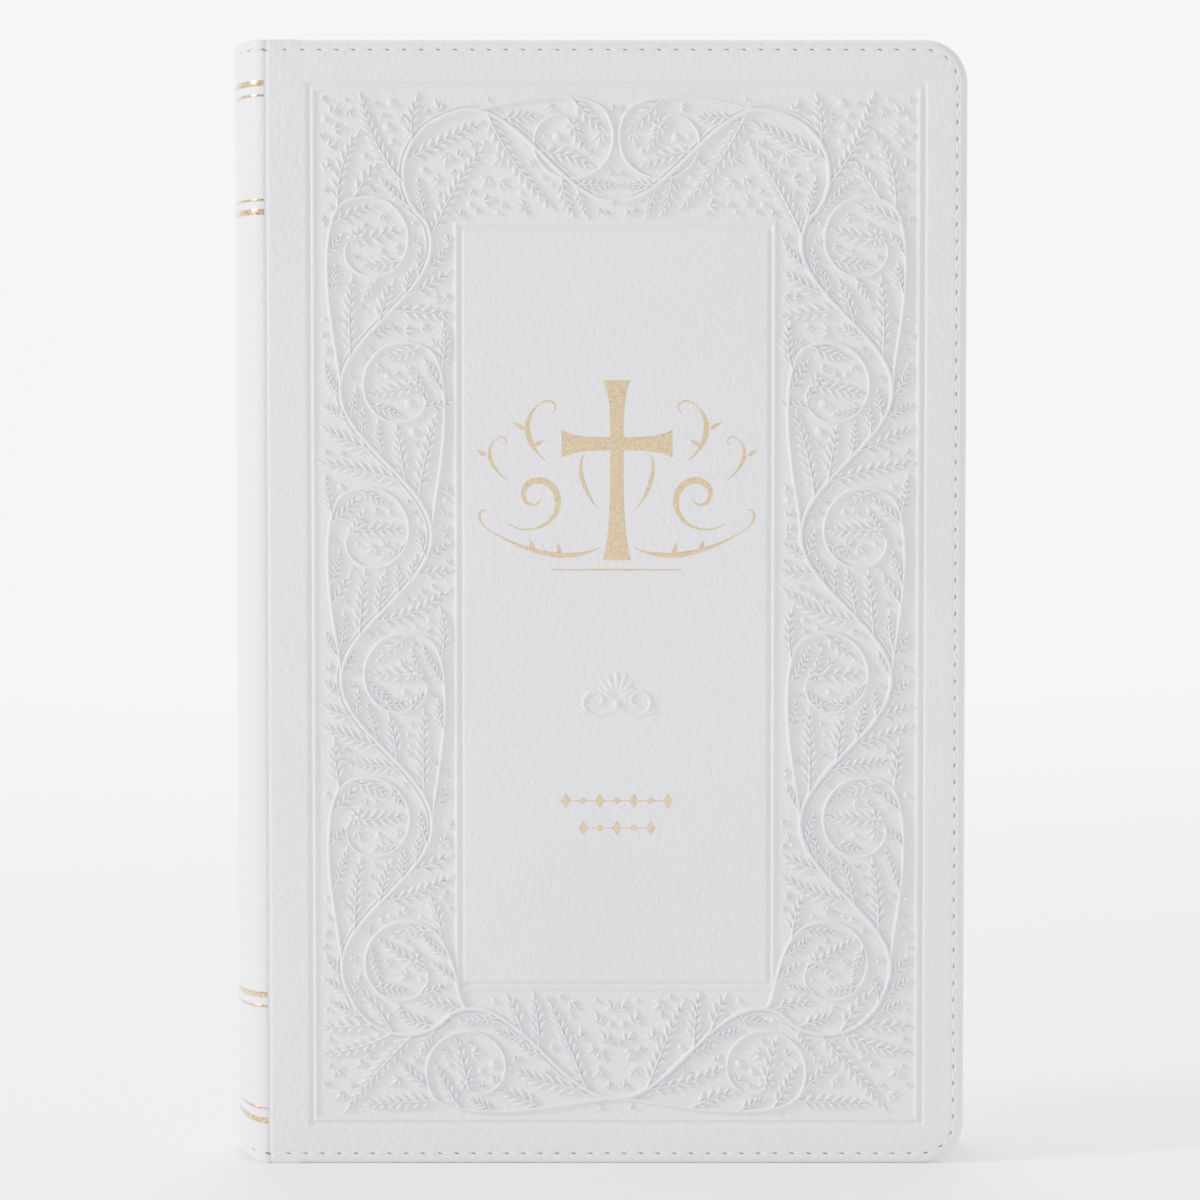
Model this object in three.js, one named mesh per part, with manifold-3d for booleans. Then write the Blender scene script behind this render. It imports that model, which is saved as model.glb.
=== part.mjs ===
// A white faux-leather gift bible: a stitched case with a rounded spine round a sewn page block.
// Millimetres. The book stands closed on its tail edge, with +Z up from tail to head.
// X runs from the spine to the fore-edge, and Y from the front cover to the back cover.
// Inside the book group, x = 0 is the crease line where the spine meets the cover panels.
import * as THREE from 'three';
import { mergeVertices } from 'three/addons/utils/BufferGeometryUtils.js';
import Module from 'manifold-3d';

// Case
const CASE_HEIGHT = 213;
const PANEL_WIDTH = 132.1;
const SPINE_BULGE = 7.4;
const CASE_THICKNESS = 28;
const CORNER_RADIUS = 8.2;
const SURFACE_DEPTH = 0.25; // room that foil and thread take above the leather
const GAP = 0.2;            // clearance between sheets that lie on each other
const FOLD_GAP = 0.3;       // clearance on each side of a fold line

// Sheets
const LEATHER = 0.9;
const BOARD = 1.4;
const TURN_IN = 0.5;
const TURN_IN_WIDTH = 7;      // kept under the corner radius, so that its inner corners stay round
const PAPER = 0.2;
const INLAY = 0.7;            // card that stiffens the spine
const MULL = 0.25;            // open cloth glued over the sewn back
const FOIL = 0.15;
const JOINT_WIDTH = 6;      // soft strip between the spine fold and the board fold

// Stitching round the cover's free edges
const STITCH_INSET = 2.05;
const THREAD = 0.4;
const GROOVE_WIDTH = 0.9;
const GROOVE_DEPTH = 0.45;

// Page block
const SQUARE = 3;           // how far the boards stand past the pages
const PAGE_CORNER = 6;
const SHOULDER = 3;         // back edge of the outermost pages
const BACK_ROUND = 1.8;     // how far the block's back is rounded out
const SIGNATURES_PER_HALF = 8;
const COVER_CLEARANCE = 0.5;
const MIDDLE_GAP = 0.15;
const CHAIN_RADIUS = 0.18;
const BAND_RADIUS = 0.75;

// Gold tooling
const SPINE_BANDS = [       // distance from the nearer end, width
  [8.3, 1.2],
  [10.6, 0.6],
  [30.2, 0.6],
  [32.4, 1.2],
];
const EMBLEM_HEIGHT = 132;
const CROSS_HALF_HEIGHT = 17;
const CROSS_HALF_WIDTH = 10.5;
const CROSS_BAR_RISE = 5;
const CROSS_ARM = 1.5;
const CROSS_FLARE = 2.7;
const RULE_HEIGHT = 113.2;
const RULE_LENGTH = 24.6;
const RULE_WIDTH = 0.5;
const ROWS = [              // name, height up the cover, length, lozenge half height
  ['foil_row_upper', 69.4, 22.6, 1.5],
  ['foil_row_lower', 64.2, 16, 1.5],
];

const ARC_DETAIL = 4;        // two facets for each, on every quarter circle

// Levels: distances from the middle plane of the book, from the outside in
const OUTER = CASE_THICKNESS / 2 - SURFACE_DEPTH;
const TRAY_DEPTH = LEATHER + GAP + BOARD + GAP + TURN_IN;
const PASTEDOWN_OUT = OUTER - TRAY_DEPTH - GAP;
const FLYLEAF_OUT = PASTEDOWN_OUT - PAPER - COVER_CLEARANCE;
const PAGES_OUT = FLYLEAF_OUT - PAPER - GAP;
const PITCH = (PAGES_OUT - MIDDLE_GAP + GAP) / SIGNATURES_PER_HALF;
const BOARD_START = JOINT_WIDTH + FOLD_GAP;
const PAGE_WIDTH = PANEL_WIDTH - SQUARE - SHOULDER;
const PANEL_CENTRE = PANEL_WIDTH / 2;

const MATERIALS = {
  leather: new THREE.MeshStandardMaterial({ color: 0xe2e1e4, roughness: 0.5, metalness: 0 }),
  board: new THREE.MeshStandardMaterial({ color: 0x9c968b, roughness: 0.9, metalness: 0 }),
  paper: new THREE.MeshStandardMaterial({ color: 0xf3eee2, roughness: 0.85, metalness: 0 }),
  pages: new THREE.MeshStandardMaterial({ color: 0xe4c987, roughness: 0.45, metalness: 0.5 }),
  cloth: new THREE.MeshStandardMaterial({ color: 0xd9d3c4, roughness: 0.95, metalness: 0 }),
  thread: new THREE.MeshStandardMaterial({ color: 0xeceaec, roughness: 0.7, metalness: 0 }),
  foil: new THREE.MeshStandardMaterial({ color: 0xcdb680, roughness: 0.35, metalness: 1 }),
};

const wasm = await Module();
wasm.setup();

const book = new THREE.Group();
book.position.x = (SPINE_BULGE - PANEL_WIDTH) / 2;

/** Adds a named mesh to the book. */
function addPiece(name, geometry, material) {
  const mesh = new THREE.Mesh(geometry, material);
  mesh.name = name;
  book.add(mesh);
  return mesh;
}

/** A flat sheet: an outline in X and Z, filling y from `near` to `far`. */
function addSheet(name, outline, near, far, material) {
  const geometry = new THREE.ExtrudeGeometry(outline, {
    depth: Math.abs(far - near), bevelEnabled: false, curveSegments: ARC_DETAIL,
  });
  const mesh = addPiece(name, geometry, material);
  mesh.rotation.x = Math.PI / 2;
  mesh.position.y = Math.max(near, far);
  return mesh;
}

/** A section in X and Y carried up from z = `bottom` to z = `top`. */
function addColumn(name, points, bottom, top, material) {
  const geometry = new THREE.ExtrudeGeometry(new THREE.Shape(points), {
    depth: top - bottom, bevelEnabled: false,
  });
  const mesh = addPiece(name, geometry, material);
  mesh.position.z = bottom;
  return mesh;
}

/** A closed mesh as a solid that can be cut. */
function toSolid(geometry) {
  const bare = geometry.clone();
  bare.deleteAttribute('normal');
  bare.deleteAttribute('uv');
  const merged = mergeVertices(bare, 1e-4);
  return new wasm.Manifold(new wasm.Mesh({
    numProp: 3,
    vertProperties: new Float32Array(merged.attributes.position.array),
    triVerts: new Uint32Array(merged.index.array),
  }));
}

/** A cut solid as a mesh geometry. */
function toGeometry(solid) {
  const mesh = solid.getMesh();
  const geometry = new THREE.BufferGeometry();
  geometry.setAttribute('position', new THREE.BufferAttribute(new Float32Array(mesh.vertProperties), 3));
  geometry.setIndex(new THREE.BufferAttribute(new Uint32Array(mesh.triVerts), 1));
  geometry.computeVertexNormals();
  return geometry;
}

/** Draws the free edges of a panel, from the foot of the fold round to its head. */
function traceEdges(path, left, inset) {
  const radius = CORNER_RADIUS - inset;
  const centreX = PANEL_WIDTH - CORNER_RADIUS;
  path.moveTo(left, inset);
  path.lineTo(centreX, inset);
  path.absarc(centreX, CORNER_RADIUS, radius, -Math.PI / 2, 0, false);
  path.absarc(centreX, CASE_HEIGHT - CORNER_RADIUS, radius, 0, Math.PI / 2, false);
  path.lineTo(left, CASE_HEIGHT - inset);
}

/** A cover panel's outline, `inset` inside its free edges and starting at x = `left`. */
function panelOutline(left, inset) {
  const outline = new THREE.Shape();
  traceEdges(outline, left, inset);
  return outline;
}

/** A band of even width that follows a panel's free edges at `inset`. */
function edgeBand(left, inset, width) {
  const outline = new THREE.Shape();
  traceEdges(outline, left, inset - width / 2);
  const inner = inset + width / 2;
  const radius = CORNER_RADIUS - inner;
  const centreX = PANEL_WIDTH - CORNER_RADIUS;
  outline.lineTo(left, CASE_HEIGHT - inner);
  outline.absarc(centreX, CASE_HEIGHT - CORNER_RADIUS, radius, Math.PI / 2, 0, true);
  outline.absarc(centreX, CORNER_RADIUS, radius, 0, -Math.PI / 2, true);
  outline.lineTo(left, inner);
  return outline;
}

/** A cutting block: an outline filling depths `from` to `to` under a cover's outer face. */
function cutter(outline, from, to) {
  const geometry = new THREE.ExtrudeGeometry(outline, {
    depth: to - from, bevelEnabled: false, curveSegments: ARC_DETAIL,
  });
  geometry.translate(0, 0, from);
  return toSolid(geometry);
}

/** The leather of one cover: face, rounded edges, turned-in flange and thread groove. */
function coverLeather() {
  const edge = 0.8;
  const slab = new THREE.ExtrudeGeometry(panelOutline(BOARD_START, 0), {
    depth: TRAY_DEPTH - 2 * edge,
    bevelThickness: edge,
    bevelSize: edge,
    bevelOffset: -edge,
    bevelSegments: 3,
    curveSegments: ARC_DETAIL,
  });
  slab.translate(0, 0, edge);
  const overrun = 2;
  const pocket = cutter(panelOutline(BOARD_START - overrun, LEATHER), LEATHER, TRAY_DEPTH - TURN_IN);
  const window = cutter(
    panelOutline(BOARD_START - overrun, TURN_IN_WIDTH),
    TRAY_DEPTH - TURN_IN - overrun / 2,
    TRAY_DEPTH + overrun,
  );
  const groove = cutter(
    edgeBand(BOARD_START - overrun, STITCH_INSET, GROOVE_WIDTH), -overrun, GROOVE_DEPTH,
  );
  return toGeometry(toSolid(slab).subtract(pocket).subtract(window).subtract(groove));
}

/** One cover: leather, board, pastedown and stitching. `side` is -1 at the front, 1 at the back. */
function addCover(name, side) {
  const leather = addPiece(`${name}_cover_leather`, coverLeather(), MATERIALS.leather);
  leather.rotation.x = side * Math.PI / 2;
  leather.position.y = side * OUTER;
  leather.position.z = side < 0 ? CASE_HEIGHT : 0;

  const boardFace = OUTER - LEATHER - GAP;
  const board = panelOutline(BOARD_START + FOLD_GAP, LEATHER + GAP);
  addSheet(`${name}_board`, board, side * boardFace, side * (boardFace - BOARD), MATERIALS.board);

  const pastedown = panelOutline(BOARD_START + FOLD_GAP, SQUARE);
  const pastedownIn = PASTEDOWN_OUT - PAPER;
  addSheet(`${name}_pastedown`, pastedown, side * PASTEDOWN_OUT, side * pastedownIn, MATERIALS.paper);

  const thread = edgeBand(BOARD_START + 2 * FOLD_GAP, STITCH_INSET, THREAD);
  const threadOut = OUTER + THREAD / 4;
  addSheet(`${name}_stitching`, thread, side * threadOut, side * (threadOut - THREAD), MATERIALS.thread);
}

/** The soft leather strip between the spine fold and the board fold. */
function addJoint(name, side) {
  const strip = new THREE.Shape();
  strip.moveTo(FOLD_GAP, 0);
  strip.lineTo(JOINT_WIDTH - FOLD_GAP, 0);
  strip.lineTo(JOINT_WIDTH - FOLD_GAP, CASE_HEIGHT);
  strip.lineTo(FOLD_GAP, CASE_HEIGHT);
  addSheet(`${name}_joint_leather`, strip, side * OUTER, side * (OUTER - LEATHER), MATERIALS.leather);
}

/** Points on the spine's half ellipse, drawn `inset` inside its outermost surface. */
function spineArc(inset, cutoff) {
  const reach = SPINE_BULGE - inset;
  const half = CASE_THICKNESS / 2 - inset;
  const limit = Math.acos(cutoff / reach);
  const steps = 28;
  return Array.from({ length: steps + 1 }, (_, i) => {
    const angle = limit * (2 * i / steps - 1);
    return new THREE.Vector2(-reach * Math.cos(angle), half * Math.sin(angle));
  });
}

/** A curved shell of the spine between two insets, ending at x = -cutoff. */
function spineShell(name, outerInset, innerInset, cutoff, bottom, top, material) {
  const points = [...spineArc(outerInset, cutoff), ...spineArc(innerInset, cutoff).reverse()];
  return addColumn(name, points, bottom, top, material);
}

/** The spine: leather, card inlay and gold bands. */
function addSpine() {
  const leatherIn = SURFACE_DEPTH + LEATHER;
  spineShell('spine_leather', SURFACE_DEPTH, leatherIn, FOLD_GAP, 0, CASE_HEIGHT, MATERIALS.leather);

  const inlayOut = leatherIn + GAP;
  const inlayCutoff = 2.4;
  spineShell(
    'spine_inlay', inlayOut, inlayOut + INLAY, inlayCutoff, SQUARE, CASE_HEIGHT - SQUARE, MATERIALS.board,
  );

  SPINE_BANDS.forEach(([distance, width], i) => {
    for (const [end, middle] of [['tail', distance], ['head', CASE_HEIGHT - distance]]) {
      spineShell(
        `spine_band_${end}_${i + 1}`, 0, FOIL, 3 * FOLD_GAP,
        middle - width / 2, middle + width / 2, MATERIALS.foil,
      );
    }
  });
}

/** Where the back of the page block lies, at distance y from the middle plane. */
function blockBack(y) {
  return SHOULDER - BACK_ROUND * (1 - (y / PAGES_OUT) ** 2);
}

/** A page outline that starts at x = `back`. */
function pageOutline(back) {
  const right = back + PAGE_WIDTH;
  const top = CASE_HEIGHT - SQUARE;
  const outline = new THREE.Shape();
  outline.moveTo(back, SQUARE);
  outline.lineTo(right - PAGE_CORNER, SQUARE);
  outline.absarc(right - PAGE_CORNER, SQUARE + PAGE_CORNER, PAGE_CORNER, -Math.PI / 2, 0, false);
  outline.absarc(right - PAGE_CORNER, top - PAGE_CORNER, PAGE_CORNER, 0, Math.PI / 2, false);
  outline.lineTo(back, top);
  return outline;
}

/** A round cord laid across the block's back, `offset` behind it, at height z. */
function addCrossCord(name, side, offset, radius, z, material) {
  const start = PAGES_OUT - radius;
  const end = MIDDLE_GAP + radius;
  const points = Array.from({ length: 7 }, (_, i) => {
    const y = start + (end - start) * i / 6;
    return new THREE.Vector3(blockBack(y) - offset, side * y, z);
  });
  const section = new THREE.Shape();
  section.absarc(0, 0, radius, 0, 2 * Math.PI, false);
  const geometry = new THREE.ExtrudeGeometry(section, {
    extrudePath: new THREE.CatmullRomCurve3(points), steps: 10, curveSegments: ARC_DETAIL,
  });
  addPiece(name, geometry, material);
}

/** Half of the page block: signatures, flyleaf, sewing chains, mull and end bands. */
function addPages(name, side, firstNumber) {
  for (let i = 0; i < SIGNATURES_PER_HALF; i += 1) {
    const out = PAGES_OUT - i * PITCH;
    const number = String(side < 0 ? firstNumber + i : firstNumber - i).padStart(2, '0');
    addSheet(
      `signature_${number}`, pageOutline(blockBack(out)), side * out, side * (out - PITCH + GAP),
      MATERIALS.pages,
    );
  }
  addSheet(
    `${name}_flyleaf`, pageOutline(SHOULDER), side * FLYLEAF_OUT, side * (FLYLEAF_OUT - PAPER),
    MATERIALS.paper,
  );

  const chainOffset = 0.3;
  const quarter = CASE_HEIGHT / 4;
  for (let station = 1; station <= 3; station += 1) {
    addCrossCord(
      `sewing_chain_${name}_${station}`, side, chainOffset, CHAIN_RADIUS, station * quarter, MATERIALS.thread,
    );
  }

  const mullIn = 0.65;
  const mullSteps = 8;
  const ys = Array.from({ length: mullSteps + 1 }, (_, i) => (
    MIDDLE_GAP + (PAGES_OUT - MIDDLE_GAP) * i / mullSteps
  ));
  const near = ys.map((y) => new THREE.Vector2(blockBack(y) - mullIn, side * y));
  const far = ys.map((y) => new THREE.Vector2(blockBack(y) - mullIn - MULL, side * y));
  const mullMargin = 12;
  addColumn(
    `${name}_mull`, [...near, ...far.reverse()], SQUARE + mullMargin, CASE_HEIGHT - SQUARE - mullMargin,
    MATERIALS.cloth,
  );

  const bandInset = -1.0;
  const bandRise = GAP + BAND_RADIUS;
  addCrossCord(
    `head_band_${name}`, side, bandInset, BAND_RADIUS, CASE_HEIGHT - SQUARE + bandRise, MATERIALS.thread,
  );
  addCrossCord(`tail_band_${name}`, side, bandInset, BAND_RADIUS, SQUARE - bandRise, MATERIALS.thread);
}

/** A cross with arms that flare gently to their ends. */
function crossOutline(centreX, centreZ) {
  const outline = new THREE.Shape();
  const top = CROSS_HALF_HEIGHT - CROSS_BAR_RISE;
  const arms = [
    [0, 1, top], [-1, 0, CROSS_HALF_WIDTH], [0, -1, CROSS_HALF_HEIGHT + CROSS_BAR_RISE], [1, 0, CROSS_HALF_WIDTH],
  ];
  const place = (along, across, [dx, dz]) => [
    centreX + along * dx - across * dz,
    centreZ + CROSS_BAR_RISE + along * dz + across * dx,
  ];
  arms.forEach(([dx, dz, length], i) => {
    const inner = place(CROSS_ARM, -CROSS_ARM, [dx, dz]);
    if (i === 0) outline.moveTo(...inner);
    else outline.lineTo(...inner);
    const waistOut = place(length * 0.7, -CROSS_ARM, [dx, dz]);
    outline.quadraticCurveTo(...waistOut, ...place(length, -CROSS_FLARE, [dx, dz]));
    outline.lineTo(...place(length, CROSS_FLARE, [dx, dz]));
    const waistBack = place(length * 0.7, CROSS_ARM, [dx, dz]);
    outline.quadraticCurveTo(...waistBack, ...place(CROSS_ARM, CROSS_ARM, [dx, dz]));
  });
  return outline;
}

/** A tapering spiral scroll that opens away from the cross. `hand` is -1 or 1. */
function scrollOutline(hand) {
  const turns = 1.35;
  const steps = 40;
  const startRadius = 7.2;
  const endRadius = 1.1;
  const centre = new THREE.Vector2(PANEL_CENTRE + hand * 15.5, EMBLEM_HEIGHT - 5);
  const left = [];
  const right = [];
  for (let i = 0; i <= steps; i += 1) {
    const t = i / steps;
    const angle = Math.PI * (-0.75 + 2 * turns * t);
    const radius = startRadius * (endRadius / startRadius) ** t;
    const half = 0.18 + 0.5 * Math.sin(Math.PI * Math.min(1, 1.2 * t + 0.05)) ** 2;
    const outward = new THREE.Vector2(-hand * Math.cos(angle), Math.sin(angle));
    left.push(centre.clone().addScaledVector(outward, radius + half));
    right.push(centre.clone().addScaledVector(outward, radius - half));
  }
  return new THREE.Shape([...left, ...right.reverse()]);
}

/** A row of lozenges strung on a fine line. */
function lozengeRow(height, length, half) {
  const line = 0.15;
  const count = Math.round(length / 3.2);
  const step = length / count;
  const upper = [];
  const lower = [];
  for (let i = 0; i < count; i += 1) {
    const x = PANEL_CENTRE - length / 2 + (i + 0.5) * step;
    const reach = step * 0.4;
    upper.push([x - reach, line], [x, i % 2 ? half / 2 : half], [x + reach, line]);
    lower.push([x - reach, -line], [x, i % 2 ? -half / 2 : -half], [x + reach, -line]);
  }
  return new THREE.Shape([...lower, ...upper.reverse()].map(([x, z]) => new THREE.Vector2(x, height + z)));
}

/** The gold tooling on the front cover. */
function addFrontFoil() {
  const faceOut = -CASE_THICKNESS / 2;
  const addFoil = (name, outline) => addSheet(name, outline, faceOut, faceOut + FOIL, MATERIALS.foil);
  addFoil('foil_cross', crossOutline(PANEL_CENTRE, EMBLEM_HEIGHT));
  addFoil('foil_scroll_left', scrollOutline(-1));
  addFoil('foil_scroll_right', scrollOutline(1));

  const rule = new THREE.Shape();
  rule.moveTo(PANEL_CENTRE - RULE_LENGTH / 2, RULE_HEIGHT - RULE_WIDTH / 2);
  rule.lineTo(PANEL_CENTRE + RULE_LENGTH / 2, RULE_HEIGHT - RULE_WIDTH / 2);
  rule.lineTo(PANEL_CENTRE + RULE_LENGTH / 2, RULE_HEIGHT + RULE_WIDTH / 2);
  rule.lineTo(PANEL_CENTRE - RULE_LENGTH / 2, RULE_HEIGHT + RULE_WIDTH / 2);
  addFoil('foil_rule', rule);

  for (const [name, height, length, half] of ROWS) {
    addFoil(name, lozengeRow(height, length, half));
  }
}

addCover('front', -1);
addCover('back', 1);
addJoint('front', -1);
addJoint('back', 1);
addSpine();
addPages('front', -1, 1);
addPages('back', 1, 2 * SIGNATURES_PER_HALF);
addFrontFoil();

export default book;
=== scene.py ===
"""A white leather-look gift bible with an embossed vine border and gold tooling.

The book stands closed on its tail edge. X runs from the spine to the fore-edge, Y from the front
cover to the back cover, and Z up from tail to head. Flat work on a cover is laid out in its own
plane in millimetres: u from the crease towards the fore-edge, v up from the tail, and h above the
leather's face.
"""

from __future__ import annotations

import logging
import math
from dataclasses import dataclass, field
from enum import Enum

import bmesh
import bpy
import numpy as np
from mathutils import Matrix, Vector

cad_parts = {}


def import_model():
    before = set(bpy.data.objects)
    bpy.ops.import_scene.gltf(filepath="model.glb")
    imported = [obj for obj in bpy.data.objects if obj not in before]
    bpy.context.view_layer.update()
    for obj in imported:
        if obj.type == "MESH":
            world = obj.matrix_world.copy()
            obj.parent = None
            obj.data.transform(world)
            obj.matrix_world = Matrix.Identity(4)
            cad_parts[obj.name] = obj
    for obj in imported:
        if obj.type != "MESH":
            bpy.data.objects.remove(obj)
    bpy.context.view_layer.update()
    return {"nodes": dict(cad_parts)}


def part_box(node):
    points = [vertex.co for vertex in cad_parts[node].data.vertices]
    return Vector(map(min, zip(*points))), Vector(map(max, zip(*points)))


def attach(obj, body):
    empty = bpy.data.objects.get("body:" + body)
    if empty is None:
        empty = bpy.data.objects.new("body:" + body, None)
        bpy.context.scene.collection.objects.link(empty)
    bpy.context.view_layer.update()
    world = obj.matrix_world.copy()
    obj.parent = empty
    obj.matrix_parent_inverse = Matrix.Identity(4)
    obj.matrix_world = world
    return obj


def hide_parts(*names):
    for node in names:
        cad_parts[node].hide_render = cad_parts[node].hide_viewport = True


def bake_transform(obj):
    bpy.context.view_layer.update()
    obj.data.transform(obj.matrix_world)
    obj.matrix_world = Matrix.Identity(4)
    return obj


MM = 0.001
CLOSEST = 0.02  # millimetres between two grid lines
GROOVE_WIDTH = 0.32  # millimetres from the stitch groove's middle to where it has all but risen
LEAFLET_STAGGER = 0.09  # how far one leaflet of a pair stands ahead, as a share of its length
LOG = logging.getLogger("bible")

Quads = np.ndarray
Array = np.ndarray


class Side(Enum):
    """Which cover a piece belongs to. The value is the sign of the outward Y direction."""

    FRONT = -1
    BACK = 1

    @property
    def word(self) -> str:
        """The name that the CAD nodes use for this side."""
        return "front" if self is Side.FRONT else "back"


class End(Enum):
    """An end of the spine. The value is the sign of the outward Z direction."""

    TAIL = -1
    HEAD = 1


# ---------------------------------------------------------------------------------------------
# Materials
# ---------------------------------------------------------------------------------------------


def linear(hex_colour: str) -> tuple[float, float, float, float]:
    """Turns an sRGB hex colour to linear light.

    Args:
        hex_colour: Six hex digits, such as "e4e3e6".

    Returns:
        Linear red, green, blue and an alpha of 1.
    """
    parts = [int(hex_colour[i : i + 2], 16) / 255 for i in (0, 2, 4)]
    red, green, blue = (c / 12.92 if c <= 0.04045 else ((c + 0.055) / 1.055) ** 2.4 for c in parts)
    return red, green, blue, 1.0


def add_node(
    tree: bpy.types.NodeTree,
    kind: str,
    sockets: dict[str | int, object] | None = None,
    **settings: object,
) -> bpy.types.Node:
    """Adds a node with its settings, its socket values and its incoming links.

    Args:
        tree: The material's node tree.
        kind: The node's type name, without its ShaderNode prefix.
        sockets: Values or output sockets for the node's inputs, by name or place.
        **settings: The node's own properties.

    Returns:
        The new node.
    """
    node = tree.nodes.new(f"ShaderNode{kind}")
    for name, value in settings.items():
        setattr(node, name, value)
    for key, value in (sockets or {}).items():
        if isinstance(value, bpy.types.NodeSocket):
            tree.links.new(value, node.inputs[key])
        else:
            node.inputs[key].default_value = value
    return node


@dataclass(frozen=True)
class Finish:
    """A finish: a Principled surface whose colour, roughness and bump its subclasses work out."""

    name: str
    colour: str
    roughness: float
    metallic: float = 0.0
    ior: float = 1.5

    def build(self) -> bpy.types.Material:
        """Makes the material.

        Returns:
            The new material.
        """
        material = bpy.data.materials.new(self.name)
        material.use_nodes = True
        tree = material.node_tree
        tree.nodes.clear()
        shader = add_node(
            tree,
            "BsdfPrincipled",
            {
                "Base Color": linear(self.colour),
                "Roughness": self.roughness,
                "Metallic": self.metallic,
                "IOR": self.ior,
            },
        )
        self.dress(tree, shader)
        add_node(tree, "OutputMaterial", {"Surface": shader.outputs[0]})
        material.diffuse_color = linear(self.colour)
        return material

    def dress(self, tree: bpy.types.NodeTree, shader: bpy.types.Node) -> None:
        """Adds the finish's own patterns. A plain finish has none."""

    @staticmethod
    def noise(
        tree: bpy.types.NodeTree, place: bpy.types.NodeSocket, size_mm: float, detail: float = 2.0
    ) -> bpy.types.NodeSocket:
        """A noise pattern whose lumps are about `size_mm` across."""
        return add_node(
            tree, "TexNoise", {"Vector": place, "Scale": 1 / (size_mm * MM), "Detail": detail}
        ).outputs[0]

    @staticmethod
    def paint(
        tree: bpy.types.NodeTree,
        shader: bpy.types.Node,
        value: bpy.types.NodeSocket,
        stops: list[tuple[float, str]],
    ) -> None:
        """Colours the surface by a ramp over a value.

        Args:
            tree: The material's node tree.
            shader: The surface.
            value: What the ramp reads.
            stops: Places on the ramp with their sRGB hex colours.
        """
        node = add_node(tree, "ValToRGB", {0: value})
        while len(node.color_ramp.elements) < len(stops):
            node.color_ramp.elements.new(0.5)
        for element, (position, colour) in zip(node.color_ramp.elements, stops):
            element.position = position
            element.color = linear(colour)
        tree.links.new(node.outputs[0], shader.inputs["Base Color"])

    @staticmethod
    def press(
        tree: bpy.types.NodeTree,
        shader: bpy.types.Node,
        height: bpy.types.NodeSocket,
        depth_mm: float,
        strength: float,
    ) -> None:
        """Bumps the surface by a height pattern.

        Args:
            tree: The material's node tree.
            shader: The surface.
            height: The pattern.
            depth_mm: How high the pattern's full range stands.
            strength: The bump's strength, from 0 to 1.
        """
        settings = {"Height": height, "Distance": depth_mm * MM, "Strength": strength}
        tree.links.new(add_node(tree, "Bump", settings).outputs[0], shader.inputs["Normal"])


@dataclass(frozen=True)
class GrainedLeather(Finish):
    """White polyurethane leather on a textile back, calendered with a fine calf grain.

    The press leaves low pebbles, about 0.95 mm apart, with finer creases between them. The top
    coat is satin, and the pigment is even, with faint cool and warm patches.
    """

    pebble_mm: float = 0.95
    crease_mm: float = 0.34
    relief_mm: float = 0.16
    shade: str = "cbc9d3"

    def dress(self, tree: bpy.types.NodeTree, shader: bpy.types.Node) -> None:
        """Adds the pebbles, the creases and the slight unevenness of colour and gloss."""
        place = add_node(tree, "TexCoord").outputs["Object"]
        wobble = add_node(
            tree, "TexNoise", {"Vector": place, "Scale": 1 / (2.2 * MM), "Detail": 2.0}
        ).outputs["Color"]
        bent = add_node(tree, "VectorMath", {0: wobble, "Scale": 0.5 * MM}, operation="SCALE")
        moved = add_node(tree, "VectorMath", {0: place, 1: bent.outputs[0]}, operation="ADD")
        pebbles = add_node(
            tree,
            "TexVoronoi",
            {"Vector": moved.outputs[0], "Scale": 1 / (self.pebble_mm * MM), "Smoothness": 0.6},
            feature="SMOOTH_F1",
        ).outputs["Distance"]
        creases = self.noise(tree, place, self.crease_mm, 3.0)
        dips = add_node(tree, "Math", {0: pebbles, 1: -0.9}, operation="MULTIPLY").outputs[0]
        grain = add_node(
            tree, "Math", {0: creases, 1: 0.55, 2: dips}, operation="MULTIPLY_ADD"
        ).outputs[0]
        fine = add_node(
            tree, "Bump", {"Height": grain, "Distance": self.relief_mm * MM, "Strength": 0.9}
        )
        hand = self.noise(tree, place, 9.0, 1.0)
        soft = add_node(
            tree,
            "Bump",
            {"Height": hand, "Distance": 0.12 * MM, "Strength": 0.6, "Normal": fine.outputs[0]},
        )
        tree.links.new(soft.outputs[0], shader.inputs["Normal"])
        patches = self.noise(tree, place, 38.0, 2.0)
        self.paint(tree, shader, patches, [(0.3, self.shade), (0.7, self.colour)])
        gloss = add_node(
            tree,
            "MapRange",
            {"Value": grain, 1: -0.4, 2: 0.4, 3: self.roughness + 0.06, 4: self.roughness},
        )
        tree.links.new(gloss.outputs[0], shader.inputs["Roughness"])
        shader.inputs["Coat Weight"].default_value = 0.12
        shader.inputs["Coat Roughness"].default_value = 0.35


@dataclass(frozen=True)
class StampedFoil(Finish):
    """Hot-stamped metallised film: gold lacquer over aluminium, pressed on to grained leather.

    The grain below shows through as a fine sparkle, painted into the colour as a noise from a dark
    shade to the gold: painted glints and painted dark reflections. The bump carries it too.
    """

    sparkle_mm: float = 0.22
    relief_mm: float = 0.05
    shade: str = "a98f55"

    def dress(self, tree: bpy.types.NodeTree, shader: bpy.types.Node) -> None:
        """Paints the sparkle into the colour, as painted glints and reflections, and adds it to the
        bump.
        """
        place = add_node(tree, "TexCoord").outputs["Object"]
        sparkle = self.noise(tree, place, self.sparkle_mm, 3.0)
        # Painted glints and reflections: the noise runs the colour from the dark shade to the gold.
        self.paint(tree, shader, sparkle, [(0.32, self.shade), (0.62, self.colour)])
        self.press(tree, shader, sparkle, self.relief_mm, 0.8)


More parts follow.
